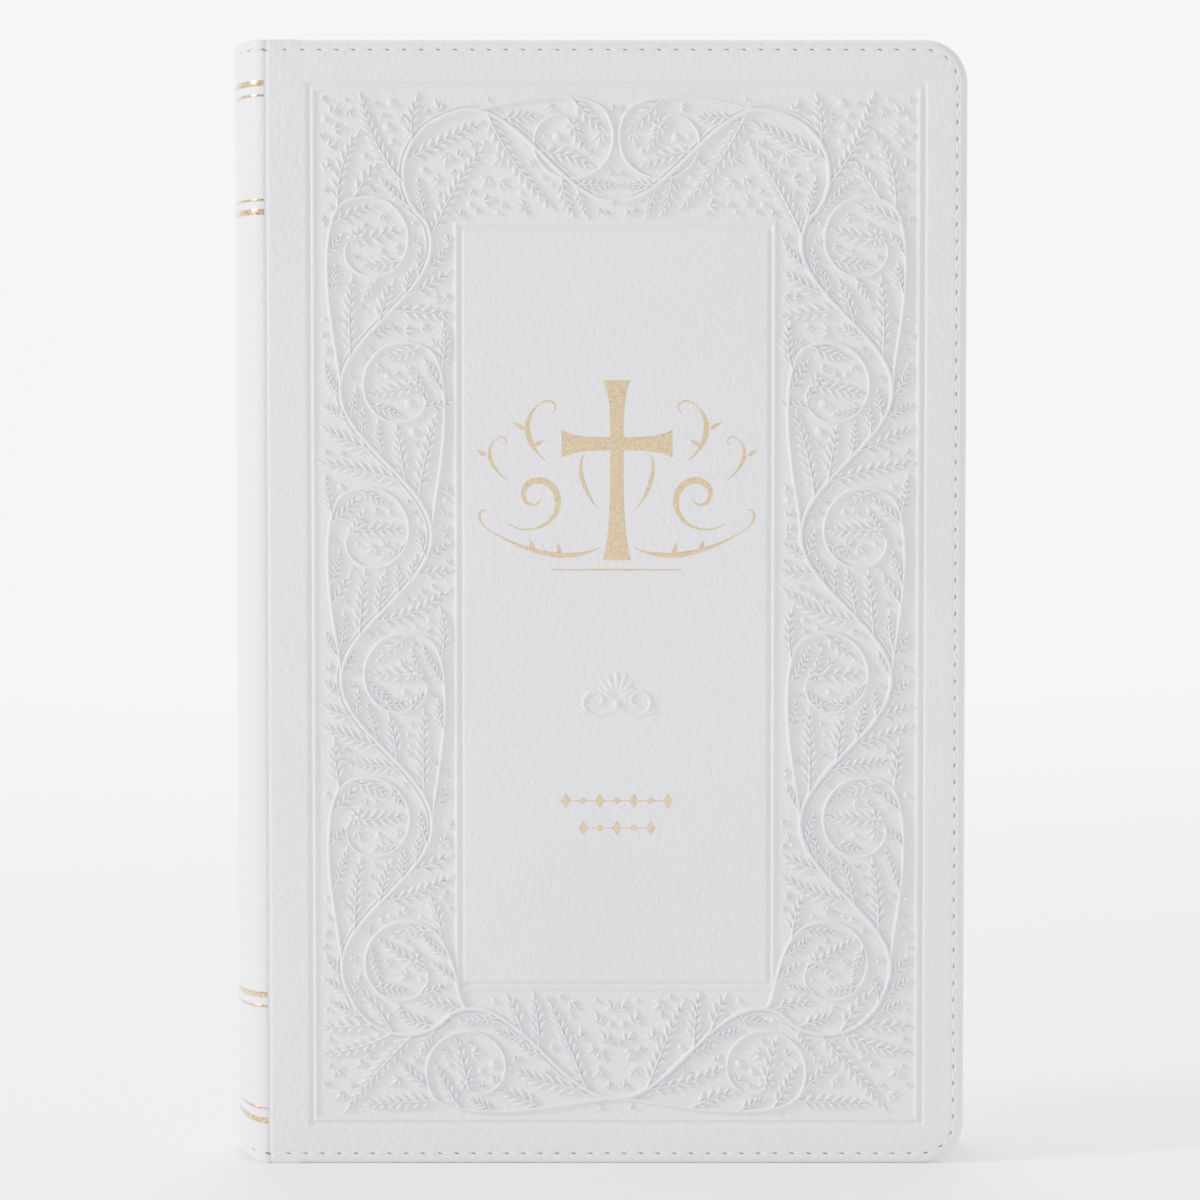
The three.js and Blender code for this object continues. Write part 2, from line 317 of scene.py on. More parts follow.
@dataclass(frozen=True)
class TwistedThread(Finish):
    """Bonded polyester thread, two plies twisted: a soft sheen with fine slanting ply lines."""

    shade: str = "c1c0c6"

    def dress(self, tree: bpy.types.NodeTree, shader: bpy.types.Node) -> None:
        """Adds the plies along the thread, which its UV map follows."""
        place = add_node(tree, "UVMap").outputs[0]
        plies = add_node(
            tree,
            "TexWave",
            {"Vector": place, "Scale": 1.6, "Distortion": 0.4},
            bands_direction="DIAGONAL",
        ).outputs[0]
        self.paint(tree, shader, plies, [(0.1, self.shade), (0.7, self.colour)])
        self.press(tree, shader, plies, 0.05, 0.6)
        shader.inputs["Sheen Weight"].default_value = 0.2


@dataclass(frozen=True)
class LinenThread(Finish):
    """Waxed linen sewing thread: matte and slightly hairy, with slubs about 0.4 mm long."""

    slub_mm: float = 0.4

    def dress(self, tree: bpy.types.NodeTree, shader: bpy.types.Node) -> None:
        """Adds the slubs to colour and bump."""
        place = add_node(tree, "TexCoord").outputs["Object"]
        slubs = self.noise(tree, place, self.slub_mm, 3.0)
        self.paint(tree, shader, slubs, [(0.3, "c9c2b0"), (0.7, self.colour)])
        self.press(tree, shader, slubs, 0.06, 0.8)


@dataclass(frozen=True)
class PunchedHole(Finish):
    """Painted shade inside a needle hole: a dark mottle like torn fibres of the leather's backing."""

    fibre_mm: float = 0.12
    shade: str = "434147"

    def dress(self, tree: bpy.types.NodeTree, shader: bpy.types.Node) -> None:
        """Paints the shade's fibrous mottle into the colour, and bumps by it."""
        place = add_node(tree, "TexCoord").outputs["Object"]
        fibres = self.noise(tree, place, self.fibre_mm, 4.0)
        self.paint(tree, shader, fibres, [(0.35, self.shade), (0.65, self.colour)])
        self.press(tree, shader, fibres, 0.06, 0.7)


@dataclass(frozen=True)
class LeafEdges(Finish):
    """The trimmed edges of thin bible paper, burnished with gold leaf.

    The leaves show as fine lines along the block. They are about 0.05 mm thick, drawn here as
    0.16 mm so that they still show.
    """

    shade: str = "9c7b3a"

    def dress(self, tree: bpy.types.NodeTree, shader: bpy.types.Node) -> None:
        """Adds the leaf lines. The UV map's V runs through the block's thickness in millimetres."""
        place = add_node(tree, "UVMap").outputs[0]
        parts = add_node(tree, "SeparateXYZ", {0: place})
        along = add_node(
            tree, "Math", {0: parts.outputs[0], 1: 0.02}, operation="MULTIPLY"
        ).outputs[0]
        through = add_node(
            tree, "Math", {0: parts.outputs[1], 1: 6.2}, operation="MULTIPLY"
        ).outputs[0]
        lines_at = add_node(tree, "CombineXYZ", {0: along, 1: through})
        lines = add_node(
            tree, "TexNoise", {"Vector": lines_at.outputs[0], "Scale": 1.0, "Detail": 3.0}
        ).outputs[0]
        self.paint(tree, shader, lines, [(0.35, self.shade), (0.6, self.colour)])
        self.press(tree, shader, lines, 0.06, 0.8)


@dataclass(frozen=True)
class LaidPaper(Finish):
    """Uncoated paper: even and matte, with a faint cloudy formation and a fine tooth."""

    def dress(self, tree: bpy.types.NodeTree, shader: bpy.types.Node) -> None:
        """Adds the clouds and the tooth."""
        place = add_node(tree, "TexCoord").outputs["Object"]
        clouds = self.noise(tree, place, 6.0, 4.0)
        self.paint(tree, shader, clouds, [(0.3, "e9e5da"), (0.7, self.colour)])
        tooth = self.noise(tree, place, 0.3, 3.0)
        self.press(tree, shader, tooth, 0.02, 0.6)


@dataclass(frozen=True)
class GreyBoard(Finish):
    """Binder's board: pulped waste paper, pressed hard, with flecks of fibre."""

    def dress(self, tree: bpy.types.NodeTree, shader: bpy.types.Node) -> None:
        """Adds the flecks and the fibrous surface."""
        place = add_node(tree, "TexCoord").outputs["Object"]
        flecks = self.noise(tree, place, 0.7, 6.0)
        self.paint(tree, shader, flecks, [(0.35, "6f6a61"), (0.65, self.colour)])
        self.press(tree, shader, flecks, 0.08, 0.7)


@dataclass(frozen=True)
class OpenCloth(Finish):
    """Mull: stiffened open-weave cotton, with threads about 0.9 mm apart, soaked in glue."""

    pitch_mm: float = 0.9

    def dress(self, tree: bpy.types.NodeTree, shader: bpy.types.Node) -> None:
        """Adds two sets of crossing threads."""
        place = add_node(tree, "TexCoord").outputs["Object"]
        waves = [
            add_node(
                tree,
                "TexWave",
                {"Vector": place, "Scale": math.pi / 10 / (self.pitch_mm * MM), "Distortion": 0.6},
                bands_direction=direction,
            ).outputs[1]
            for direction in ("Y", "Z")
        ]
        threads = add_node(tree, "Math", {0: waves[0], 1: waves[1]}, operation="MAXIMUM").outputs[0]
        self.paint(tree, shader, threads, [(0.3, "a79d87"), (0.75, self.colour)])
        self.press(tree, shader, threads, 0.15, 1.0)


LEATHER = GrainedLeather("white_calf_grain_leather", "d2d0d9", 0.44)
# Each foil's shade is the dark end of its painted sparkle; the spine's very dark shade paints
# reflections of dark surroundings.
COVER_FOIL = StampedFoil("gold_stamped_film", "e2c276", 0.36, 1.0, shade="997b47")
SPINE_FOIL = StampedFoil(
    "bright_gold_spine_film", "d3ab61", 0.18, 1.0, sparkle_mm=0.45, relief_mm=0.07, shade="513a18"
)
THREAD = TwistedThread("white_bonded_thread", "ecebf0", 0.6)
LINEN_THREAD = LinenThread("waxed_linen_thread", "e8e3d6", 0.7)
NEEDLE_HOLE = PunchedHole("needle_hole_shadow", "57555b", 0.9)
GILT_EDGES = LeafEdges("gilt_paper_edges", "dcc07a", 0.3, 0.85)
LEAF_PAPER = LaidPaper("thin_bible_paper", "f4f0e4", 0.8)
ENDPAPER = LaidPaper("white_endpaper", "f5f4f0", 0.75)
BOARD = GreyBoard("grey_binders_board", "98928a", 0.9)
MULL = OpenCloth("glued_mull_cloth", "ddd5c2", 0.9)
BAND_WHITE = TwistedThread("white_band_silk", "f3efe6", 0.5, shade="d6cfbf")
BAND_GOLD = TwistedThread("gold_band_silk", "c9a14a", 0.45, shade="8a6a2a")


class Palette:
    """Builds each finish once and hands it out."""

    def __init__(self) -> None:
        """Starts with no finish built."""
        self._built: dict[str, bpy.types.Material] = {}

    def get(self, finish: Finish) -> bpy.types.Material:
        """The material of a finish."""
        if finish.name not in self._built:
            self._built[finish.name] = finish.build()
        return self._built[finish.name]


PALETTE = Palette()


# ---------------------------------------------------------------------------------------------
# Meshes
# ---------------------------------------------------------------------------------------------


def grid_quads(rows: int, columns: int, closed_columns: bool = False) -> Quads:
    """The four corners of every cell of a grid of points.

    Args:
        rows: How many points there are along the first parameter.
        columns: How many points there are along the second parameter.
        closed_columns: Whether the last column joins the first.

    Returns:
        Corner numbers, one row of four for each cell.
    """
    i = np.arange(rows - 1)[:, None]
    j = np.arange(columns if closed_columns else columns - 1)[None, :]
    a = i * columns + j
    b = (i + 1) * columns + j
    c = (i + 1) * columns + (j + 1) % columns
    d = i * columns + (j + 1) % columns
    return np.stack([a, b, c, d], axis=-1).reshape(-1, 4)


def make_piece(
    name: str,
    points: Array,
    quads: Quads,
    finish: Finish,
    slot: str,
    uv: Array | None = None,
    flip: bool = False,
    weld: bool = False,
) -> bpy.types.Object:
    """Puts points and faces into a smooth-shaded object at the origin.

    Args:
        name: The piece's name.
        points: Places in metres, one row of three for each point.
        quads: Corner numbers of the faces, anticlockwise from outside.
        finish: The piece's finish.
        slot: A material slot's name. It is not used.
        uv: One pair for each point, or None.
        flip: Whether to turn the faces over.
        weld: Whether points that coincide are joined, which closes poles and pointed tips.

    Returns:
        The new object, linked to the scene.
    """
    faces = quads[:, ::-1] if flip else quads
    mesh = bpy.data.meshes.new(name)
    mesh.from_pydata(points.reshape(-1, 3).tolist(), [], faces.tolist())
    if uv is not None:
        corners = np.zeros(len(mesh.loops), dtype=np.int32)
        mesh.loops.foreach_get("vertex_index", corners)
        layer = mesh.uv_layers.new(name="UVMap")
        layer.data.foreach_set("uv", uv.reshape(-1, 2)[corners].astype(np.float32).ravel())
    if weld:
        joined = bmesh.new()
        joined.from_mesh(mesh)
        bmesh.ops.remove_doubles(joined, verts=joined.verts, dist=1e-7)
        bmesh.ops.dissolve_degenerate(joined, edges=joined.edges, dist=1e-8)
        joined.to_mesh(mesh)
        joined.free()
    mesh.polygons.foreach_set("use_smooth", np.ones(len(mesh.polygons), dtype=bool))
    mesh.materials.append(PALETTE.get(finish))
    piece = bpy.data.objects.new(name, mesh)
    bpy.context.scene.collection.objects.link(piece)
    LOG.info("%s: %d faces", name, len(faces))
    return piece


def instances(template: Array, quads: Quads, origins: Array, axes: Array) -> tuple[Array, Quads]:
    """Copies a template shape to many places.

    Each copy is its origin plus the template's coordinates times the copy's three axes.

    Args:
        template: The template's points, one row of three each.
        quads: The template's faces.
        origins: One place for each copy.
        axes: Three axis vectors for each copy, scaled as the copy is.

    Returns:
        All points and all faces.
    """
    points = origins[:, None, :] + np.einsum("pk,nkc->npc", template, axes)
    shift = (np.arange(len(origins)) * len(template))[:, None, None]
    return points.reshape(-1, 3), (quads[None] + shift).reshape(-1, 4)


def joined(parts: list[tuple[Array, Quads]]) -> tuple[Array, Quads]:
    """Puts several meshes into one.

    Args:
        parts: Points and faces of each mesh.

    Returns:
        All points and all faces, with the faces' corner numbers moved on.
    """
    offsets = np.cumsum([0] + [len(points) for points, _ in parts[:-1]])
    points = np.concatenate([points for points, _ in parts])
    return points, np.concatenate([faces + o for (_, faces), o in zip(parts, offsets)])


def runs(path: Array) -> Array:
    """The distance along a path at each of its points."""
    return np.concatenate([[0], np.cumsum(np.linalg.norm(np.diff(path, axis=0), axis=1))])


def sides(path: Array) -> tuple[Array, Array]:
    """The directions of a flat path.

    Args:
        path: u and v along the path.

    Returns:
        The unit tangent at each point, and the direction to its right.
    """
    tangent = np.gradient(path, axis=0)
    tangent /= np.maximum(np.linalg.norm(tangent, axis=1, keepdims=True), 1e-9)
    return tangent, np.stack([tangent[:, 1], -tangent[:, 0]], axis=-1)


def ribbon(path: Array, widths: Array, count: int) -> tuple[Array, Array]:
    """Spreads a flat path out to a ribbon.

    Args:
        path: u and v along the middle.
        widths: Full width at each point.
        count: How many points there are across.

    Returns:
        Shares of the half width across, from -1 to 1, and u and v of every point.
    """
    across = np.linspace(-1, 1, count)
    half = across[None, :, None] * widths[:, None, None] / 2
    return across, path[:, None, :] + sides(path)[1][:, None, :] * half


def lines(*stretches: tuple[float, float, float]) -> Array:
    """Grid lines over several stretches. Lines less than CLOSEST apart are dropped.

    Args:
        *stretches: The start, end and spacing of each.

    Returns:
        The lines' places, in order.
    """
    parts = [np.linspace(a, b, max(2, int(round((b - a) / step)) + 1)) for a, b, step in stretches]
    values = np.unique(np.round(np.concatenate(parts), 4))
    keep = np.concatenate([[True], np.diff(values) > CLOSEST])
    return values[keep]


def step_up(x: Array, width: float = 0.17) -> Array:
    """A smooth step from 0 to 1 at x = 0, as half of one plus tanh."""
    return 0.5 * (1 + np.tanh(x / width))


def bell(x: Array, width: float) -> Array:
    """A bell of height 1 at x = 0: e to the minus square of x over its width."""
    return np.exp(-((x / width) ** 2))


# ---------------------------------------------------------------------------------------------
# Sizes read from the frame
# ---------------------------------------------------------------------------------------------


@dataclass(frozen=True)
class BookSizes:
    """The book's driving sizes in millimetres, worked out from the frame's nodes."""

    crease: float
    width: float
    height: float
    face: float
    tray: float
    joint: float
    spine_reach: float
    page_back: float
    page_width: float
    page_half: float
    square: float
    corner: float = 8.2
    fold_gap: float = 0.3

    @classmethod
    def from_frame(cls) -> "BookSizes":
        """Reads the sizes.

        Returns:
            The book's sizes.
        """
        spine_low, spine_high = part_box("spine_leather")
        cover_low, cover_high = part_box("front_cover_leather")
        leaf_low, leaf_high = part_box("signature_01")
        gap = cls.fold_gap
        crease = spine_high.x / MM + gap
        return cls(
            crease=crease,
            width=cover_high.x / MM - crease,
            height=cover_high.z / MM,
            face=-cover_low.y / MM,
            tray=(cover_high.y - cover_low.y) / MM,
            joint=cover_low.x / MM - gap - crease,
            spine_reach=crease - spine_low.x / MM,
            page_back=leaf_low.x / MM - crease,
            page_width=(leaf_high.x - leaf_low.x) / MM,
            page_half=-leaf_low.y / MM,
            square=leaf_low.z / MM,
        )

    def world(self, side: Side, flat: Array) -> Array:
        """Takes points from a cover's own plane into the row frame.

        Args:
            side: The cover.
            flat: u, v and h in millimetres along the last axis.

        Returns:
            Places in metres.
        """
        x = self.crease + flat[..., 0]
        y = side.value * (self.face + flat[..., 2])
        return np.stack([x, y, flat[..., 1]], axis=-1) * MM


@dataclass(frozen=True)
class Borders:
    """The two embossed double rules, in a cover's own plane. Each is left, right, bottom, top."""

    outer: tuple[float, float, float, float] = (7.5, 124.4, 7.3, 205.0)
    inner: tuple[float, float, float, float] = (35.4, 96.1, 33.3, 178.8)
    spacing: float = 0.76
    band_depth: float = 0.34
    bead: float = 0.46

    @staticmethod
    def inside(rectangle: tuple[float, float, float, float], u: Array, v: Array) -> Array:
        """How far points lie inside a rectangle: the least of the four distances to its sides."""
        left, right, bottom, top = rectangle
        return np.minimum(np.minimum(u - left, right - u), np.minimum(v - bottom, top - v))

    def relief(self, u: Array, v: Array, vines: bool) -> Array:
        """Height of the pressed rules: smooth steps down, up and down going inwards.

        Args:
            u: Distance from the crease.
            v: Height up the cover.
            vines: Whether the sunk band and its inner rule are there too.

        Returns:
            Height above the leather's face.
        """
        outer = self.inside(self.outer, u, v)
        floor = self.band_depth if vines else self.bead
        h = -self.bead * step_up(outer - 0.2) + self.bead * step_up(outer - 0.2 - self.spacing)
        h = h - floor * step_up(outer - 0.2 - 2 * self.spacing)
        if not vines:
            return h + floor * step_up(outer - 0.2 - 3 * self.spacing)
        inner = self.inside(self.inner, u, v)
        h = h + (self.band_depth + 0.02) * step_up(inner)
        h = h - self.bead * step_up(inner - self.spacing)
        return h + (self.bead - 0.02) * step_up(inner - 2 * self.spacing)


# ---------------------------------------------------------------------------------------------
# Stitching
# ---------------------------------------------------------------------------------------------


@dataclass(frozen=True)
class Stitches:
    """A row of lockstitches with a needle hole between each two, laid along a line; each hole is a dark
    dish of painted shade.
    """

    pitch: float = 3.2
    thread: float = 0.42
    inset: float = 2.05
    hole_length: float = 1.3
    hole_width: float = 0.52
    slant: float = math.radians(28)

    def stitch_template(self) -> tuple[Array, Quads, Array]:
        """One stitch: a round thread that rises from one hole and dips into the next.

        Its centreline is half a sine arch, and its radius narrows to the ends.

        Returns:
            Points with x along the stitch, faces, and UV pairs.
        """
        t = np.linspace(0, 1, 9)[:, None]
        turn = np.linspace(0, 2 * math.pi, 9)[None, :-1]
        length = self.pitch - 0.5 * self.hole_length
        radius = self.thread / 2 * np.clip(np.sin(math.pi * t), 0, 1) ** 0.4
        x = (t - 0.5) * length + 0 * turn
        y = radius * np.cos(turn) * 1.1
        z = radius * np.sin(turn) * 0.8 + 0.2 * np.sin(math.pi * t) - 0.16
        uv = np.stack([t * length * 1.2 + 0 * turn, turn / math.pi + 0 * t], axis=-1)
        points = np.stack([x, y, z], axis=-1).reshape(-1, 3)
        return points, grid_quads(9, 8, closed_columns=True), uv.reshape(-1, 2)

    def hole_template(self) -> tuple[Array, Quads]:
        """One needle hole's shadow: an oval dish, four rings deep, a hair above the leather.

        Returns:
            Points with x along the oval, and faces.
        """
        ring = np.array([0.0, 0.5, 0.85, 1.0])[:, None]
        turn = np.linspace(0, 2 * math.pi, 11)[None, :-1]
        x = self.hole_length / 2 * ring * np.cos(turn)
        y = self.hole_width / 2 * ring * np.sin(turn)
        z = 0.03 - 0.05 * ring**2 + 0 * turn
        return np.stack([x, y, z], axis=-1).reshape(-1, 3), grid_quads(4, 10, closed_columns=True)

    def sew(
        self,
        name: str,
        path: Array,
        normals: Array,
        body: str,
        replaced: tuple[str, ...] = (),
        end_holes: bool = True,
    ) -> list[bpy.types.Object]:
        """Lays stitches, and a dish of painted shade at each needle hole, along a line at even
        distances.

        Args:
            name: The start of the pieces' names.
            path: Places along the line, in metres, close together.
            normals: The leather's outward direction at each place.
            body: The body that the stitches ride on.
            replaced: CAD nodes that the thread stands for.
            end_holes: Whether the line's two ends have holes too.

        Returns:
            The thread, and the painted shade in each needle hole.
        """
        run = runs(path)
        count = max(2, int(round(run[-1] / (self.pitch * MM))))
        pitch = run[-1] / count

        def at(distance: Array, values: Array) -> Array:
            """Reads rows of values at distances along the line."""
            return np.stack([np.interp(distance, run, values[:, k]) for k in range(3)], axis=-1)

        def axes(distance: Array, turn: float) -> Array:
            """Along, across and out of the leather, turned by an angle about the last."""
            step = 0.2 * MM
            along = at(distance + step, path) - at(distance - step, path)
            along /= np.linalg.norm(along, axis=1, keepdims=True)
            out = at(distance, normals)
            out /= np.linalg.norm(out, axis=1, keepdims=True)
            across = np.cross(out, along)
            first = math.cos(turn) * along - math.sin(turn) * across
            return np.stack([first, np.cross(out, first), out], axis=1) * MM

        middles = (np.arange(count) + 0.5) * pitch
        shape, quads, uv = self.stitch_template()
        points, faces = instances(shape, quads, at(middles, path), axes(middles, 0.0))
        thread = make_piece(
            f"{name}_thread",
            points,
            faces,
            THREAD,
            "thread",
            uv=np.tile(uv, (count, 1)),
            flip=True,
            weld=True,
        )
        holes_at = (np.arange(count + 1) if end_holes else np.arange(1, count)) * pitch
        shape, quads = self.hole_template()
        points, faces = instances(shape, quads, at(holes_at, path), axes(holes_at, self.slant))
        # Each needle hole is drawn as a dark dish of painted shade, a hair above the leather.
        hole_shades = make_piece(f"{name}_needle_hole_shade", points, faces, NEEDLE_HOLE, "thread", weld=True)
        for piece in (thread, hole_shades):
            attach(piece, body)
        if replaced:
            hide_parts(*replaced)
        return [thread, hole_shades]


# ---------------------------------------------------------------------------------------------
# Cover leather
# ---------------------------------------------------------------------------------------------


@dataclass
class CoverLeather:
    """The leather of one cover: its grained face, rolled edge, turn-in and pressed rules."""

    sizes: BookSizes
    side: Side
    borders: Borders = field(default_factory=Borders)
    stitches: Stitches = field(default_factory=Stitches)
    edge_roll: float = 1.8
    strip_depth: float = 1.7
    thread_seat: float = -0.12
    seam_start: float = 0.8

    @property
    def strip_body(self) -> str:
        """The body that the strip beside the fold rides on."""
        return "front_joint" if self.side is Side.FRONT else "back_leaves_outer"

    def edge_profile(self) -> tuple[Array, Array, Array]:
        """The section across a free edge, from the flat face round to the turned-in flange.

        It is a flat run, then half an ellipse round the edge, then a run back inside.

        Returns:
            Distance out from the corner's centre, depth under the face, and run along the section.
        """
        s = self.sizes
        flat = lines((0, 1.4, 0.16), (1.4, 5.5, 0.8), (5.5, s.corner - self.edge_roll, 0.15))
        turn = np.linspace(0, math.pi, 19)[1:]
        centre = s.corner - self.edge_roll
        round_edge = centre + self.edge_roll * np.sin(turn)
        reach = np.concatenate([flat, round_edge, [4.5, 3.0, 1.6, 1.4, 1.4]])
        under = s.tray / 2 * (1 - np.cos(turn))
        depth = np.concatenate([0 * flat, under, np.full(4, s.tray), [s.tray - 0.4]])
        run = np.concatenate([[0], np.cumsum(np.hypot(np.diff(reach), np.diff(depth)))])
        return reach, depth, run

    def relief(self, u: Array, v: Array) -> Array:
        """Height of the leather: rules, the pulled-down stitch line and the crease at the fold.

        Args:
            u: Distance from the crease.
            v: Height up the cover.

        Returns:
            Height above the flat face.
        """
        s = self.sizes
        h = self.borders.relief(u, v, self.side is Side.FRONT)
        out_u = np.maximum(u - (s.width - s.corner), 0)
        out_v = np.maximum(np.abs(v - s.height / 2) - (s.height / 2 - s.corner), 0)
        from_edge = s.corner - np.hypot(out_u, out_v)
        h = h - 0.16 * bell(from_edge - self.stitches.inset, GROOVE_WIDTH)
        return h - 0.24 * bell(u, 0.35)

    def build(self) -> bpy.types.Object:
        """Makes the leather as one grid over the face, the edges and the turn-ins.

        The grid's lines run on past the face by the edge section's own run. Past a corner, a
        point lies at the section's reach from the corner's centre, in the direction of its two runs.

        Returns:
            The leather.
        """
        s = self.sizes
        reach, depth, run = self.edge_profile()
        rules = self.borders
        u_core = lines(
            (0, 1, 0.12),
            (1, 7, 0.75),
            (rules.outer[0] - 0.5, rules.outer[0] + 2.6, 0.13),
            (10, 34, 2.4),
            (rules.inner[0] - 0.8, rules.inner[0] + 2.3, 0.13),
            (38, 93, 2.5),
            (rules.inner[1] - 2.3, rules.inner[1] + 0.8, 0.13),
            (97, 121.5, 2.4),
            (rules.outer[1] - 2.6, s.width - s.corner, 0.13),
        )
        v_core = lines(
            (s.corner, rules.outer[2] + 2.6, 0.13),
            (10, 32, 2.4),
            (rules.inner[2] - 0.8, rules.inner[2] + 2.3, 0.13),
            (36, 176, 3.0),
            (rules.inner[3] - 2.3, rules.inner[3] + 0.8, 0.13),
            (180, 202, 2.4),
            (rules.outer[3] - 2.6, s.height - s.corner, 0.13),
        )
        past_u = np.concatenate([0 * u_core, run[1:]])
        u_at = np.pad(u_core, (0, len(run) - 1), mode="edge")
        past_v = np.concatenate([-run[:0:-1], 0 * v_core, run[1:]])
        v_at = np.pad(v_core, len(run) - 1, mode="edge")
        a, b = np.meshgrid(past_u, past_v, indexing="ij")
        base_u, base_v = np.meshgrid(u_at, v_at, indexing="ij")
        along = np.maximum(np.abs(a), np.abs(b))
        size = np.maximum(np.hypot(a, b), 1e-9)
        out = np.interp(along, run, reach)
        under = np.interp(along, run, depth)
        u = base_u + out * a / size
        v = base_v + out * b / size
        blend = step_up(u - self.sizes.joint, 0.4)
        under = under * (self.strip_depth / s.tray + (1 - self.strip_depth / s.tray) * blend)
        on_face = under < s.tray / 2
        h = np.where(on_face, self.relief(u, v) * (1 - under / s.tray), 0) - under
        points = s.world(self.side, np.stack([u, v, h], axis=-1))
        piece = make_piece(
            f"{self.side.word}_cover_skin",
            points,
            grid_quads(*u.shape),
            LEATHER,
            "white_leather",
            flip=self.side is Side.BACK,
        )
        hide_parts(f"{self.side.word}_cover_leather", f"{self.side.word}_joint_leather")
        start, end = (
            s.world(self.side, np.array([s.joint + d, s.height / 2, 0.0])) for d in (-1.2, 1.2)
        )
        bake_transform(piece)
        return piece

    def outward(self, count: int) -> Array:
        """The cover's outward direction, once for each of some points."""
        return np.tile([0.0, float(self.side.value), 0.0], (count, 1))

    def strip_lines(self) -> list[tuple[Array, Array]]:
        """The short stitch lines at the tail and the head of the fold strip.

        Returns:
            Places and outward directions of each line.
        """
        s = self.sizes
        start = s.joint + self.seam_start
        u = np.linspace(start - 2 * self.stitches.pitch, start, 40)
        rows = []
        for v in (self.stitches.inset, s.height - self.stitches.inset):
            flat = np.stack([u, np.full_like(u, v), np.full_like(u, self.thread_seat)], axis=-1)
            rows.append((s.world(self.side, flat), self.outward(len(u))))
        return rows

    def stitch_line(self) -> tuple[Array, Array]:
        """The stitch line round the free edges: straight, quarter round, straight, quarter, straight.

        Returns:
            Places in metres and outward directions.
        """
        s = self.sizes
        inset = self.stitches.inset
        radius = s.corner - inset
        turn = np.linspace(-math.pi / 2, 0, 24)
        centre_u = s.width - s.corner
        start = np.array([[s.joint + self.seam_start, inset]])
        low = np.stack([centre_u + radius * np.cos(turn), s.corner + radius * np.sin(turn)], axis=-1)
        high = low[::-1] * [1, -1] + [0, s.height]
        end = np.array([[s.joint + self.seam_start, s.height - inset]])
        corners = np.concatenate([start, low, high, end])
        run = runs(corners)
        fine = np.arange(0, run[-1], 0.4)
        u, v = (np.interp(fine, run, corners[:, k]) for k in (0, 1))
        flat = np.stack([u, v, np.full_like(u, self.thread_seat)], axis=-1)
        return s.world(self.side, flat), self.outward(len(fine))

    def sew(self) -> None:
        """Sews round the cover's free edges, and across the fold strip on the strip's own body."""
        word = self.side.word
        for (path, normals), end in zip(self.strip_lines(), ("tail", "head")):
            name = f"{word}_strip_{end}"
            self.stitches.sew(name, path, normals, self.strip_body, end_holes=False)
        path, normals = self.stitch_line()
        if self.side is Side.BACK:
            path, normals = path[::-1], normals[::-1]
        self.stitches.sew(f"{word}_cover", path, normals, f"{word}_cover", (f"{word}_stitching",))


# ---------------------------------------------------------------------------------------------
# Embossed foliage
# ---------------------------------------------------------------------------------------------


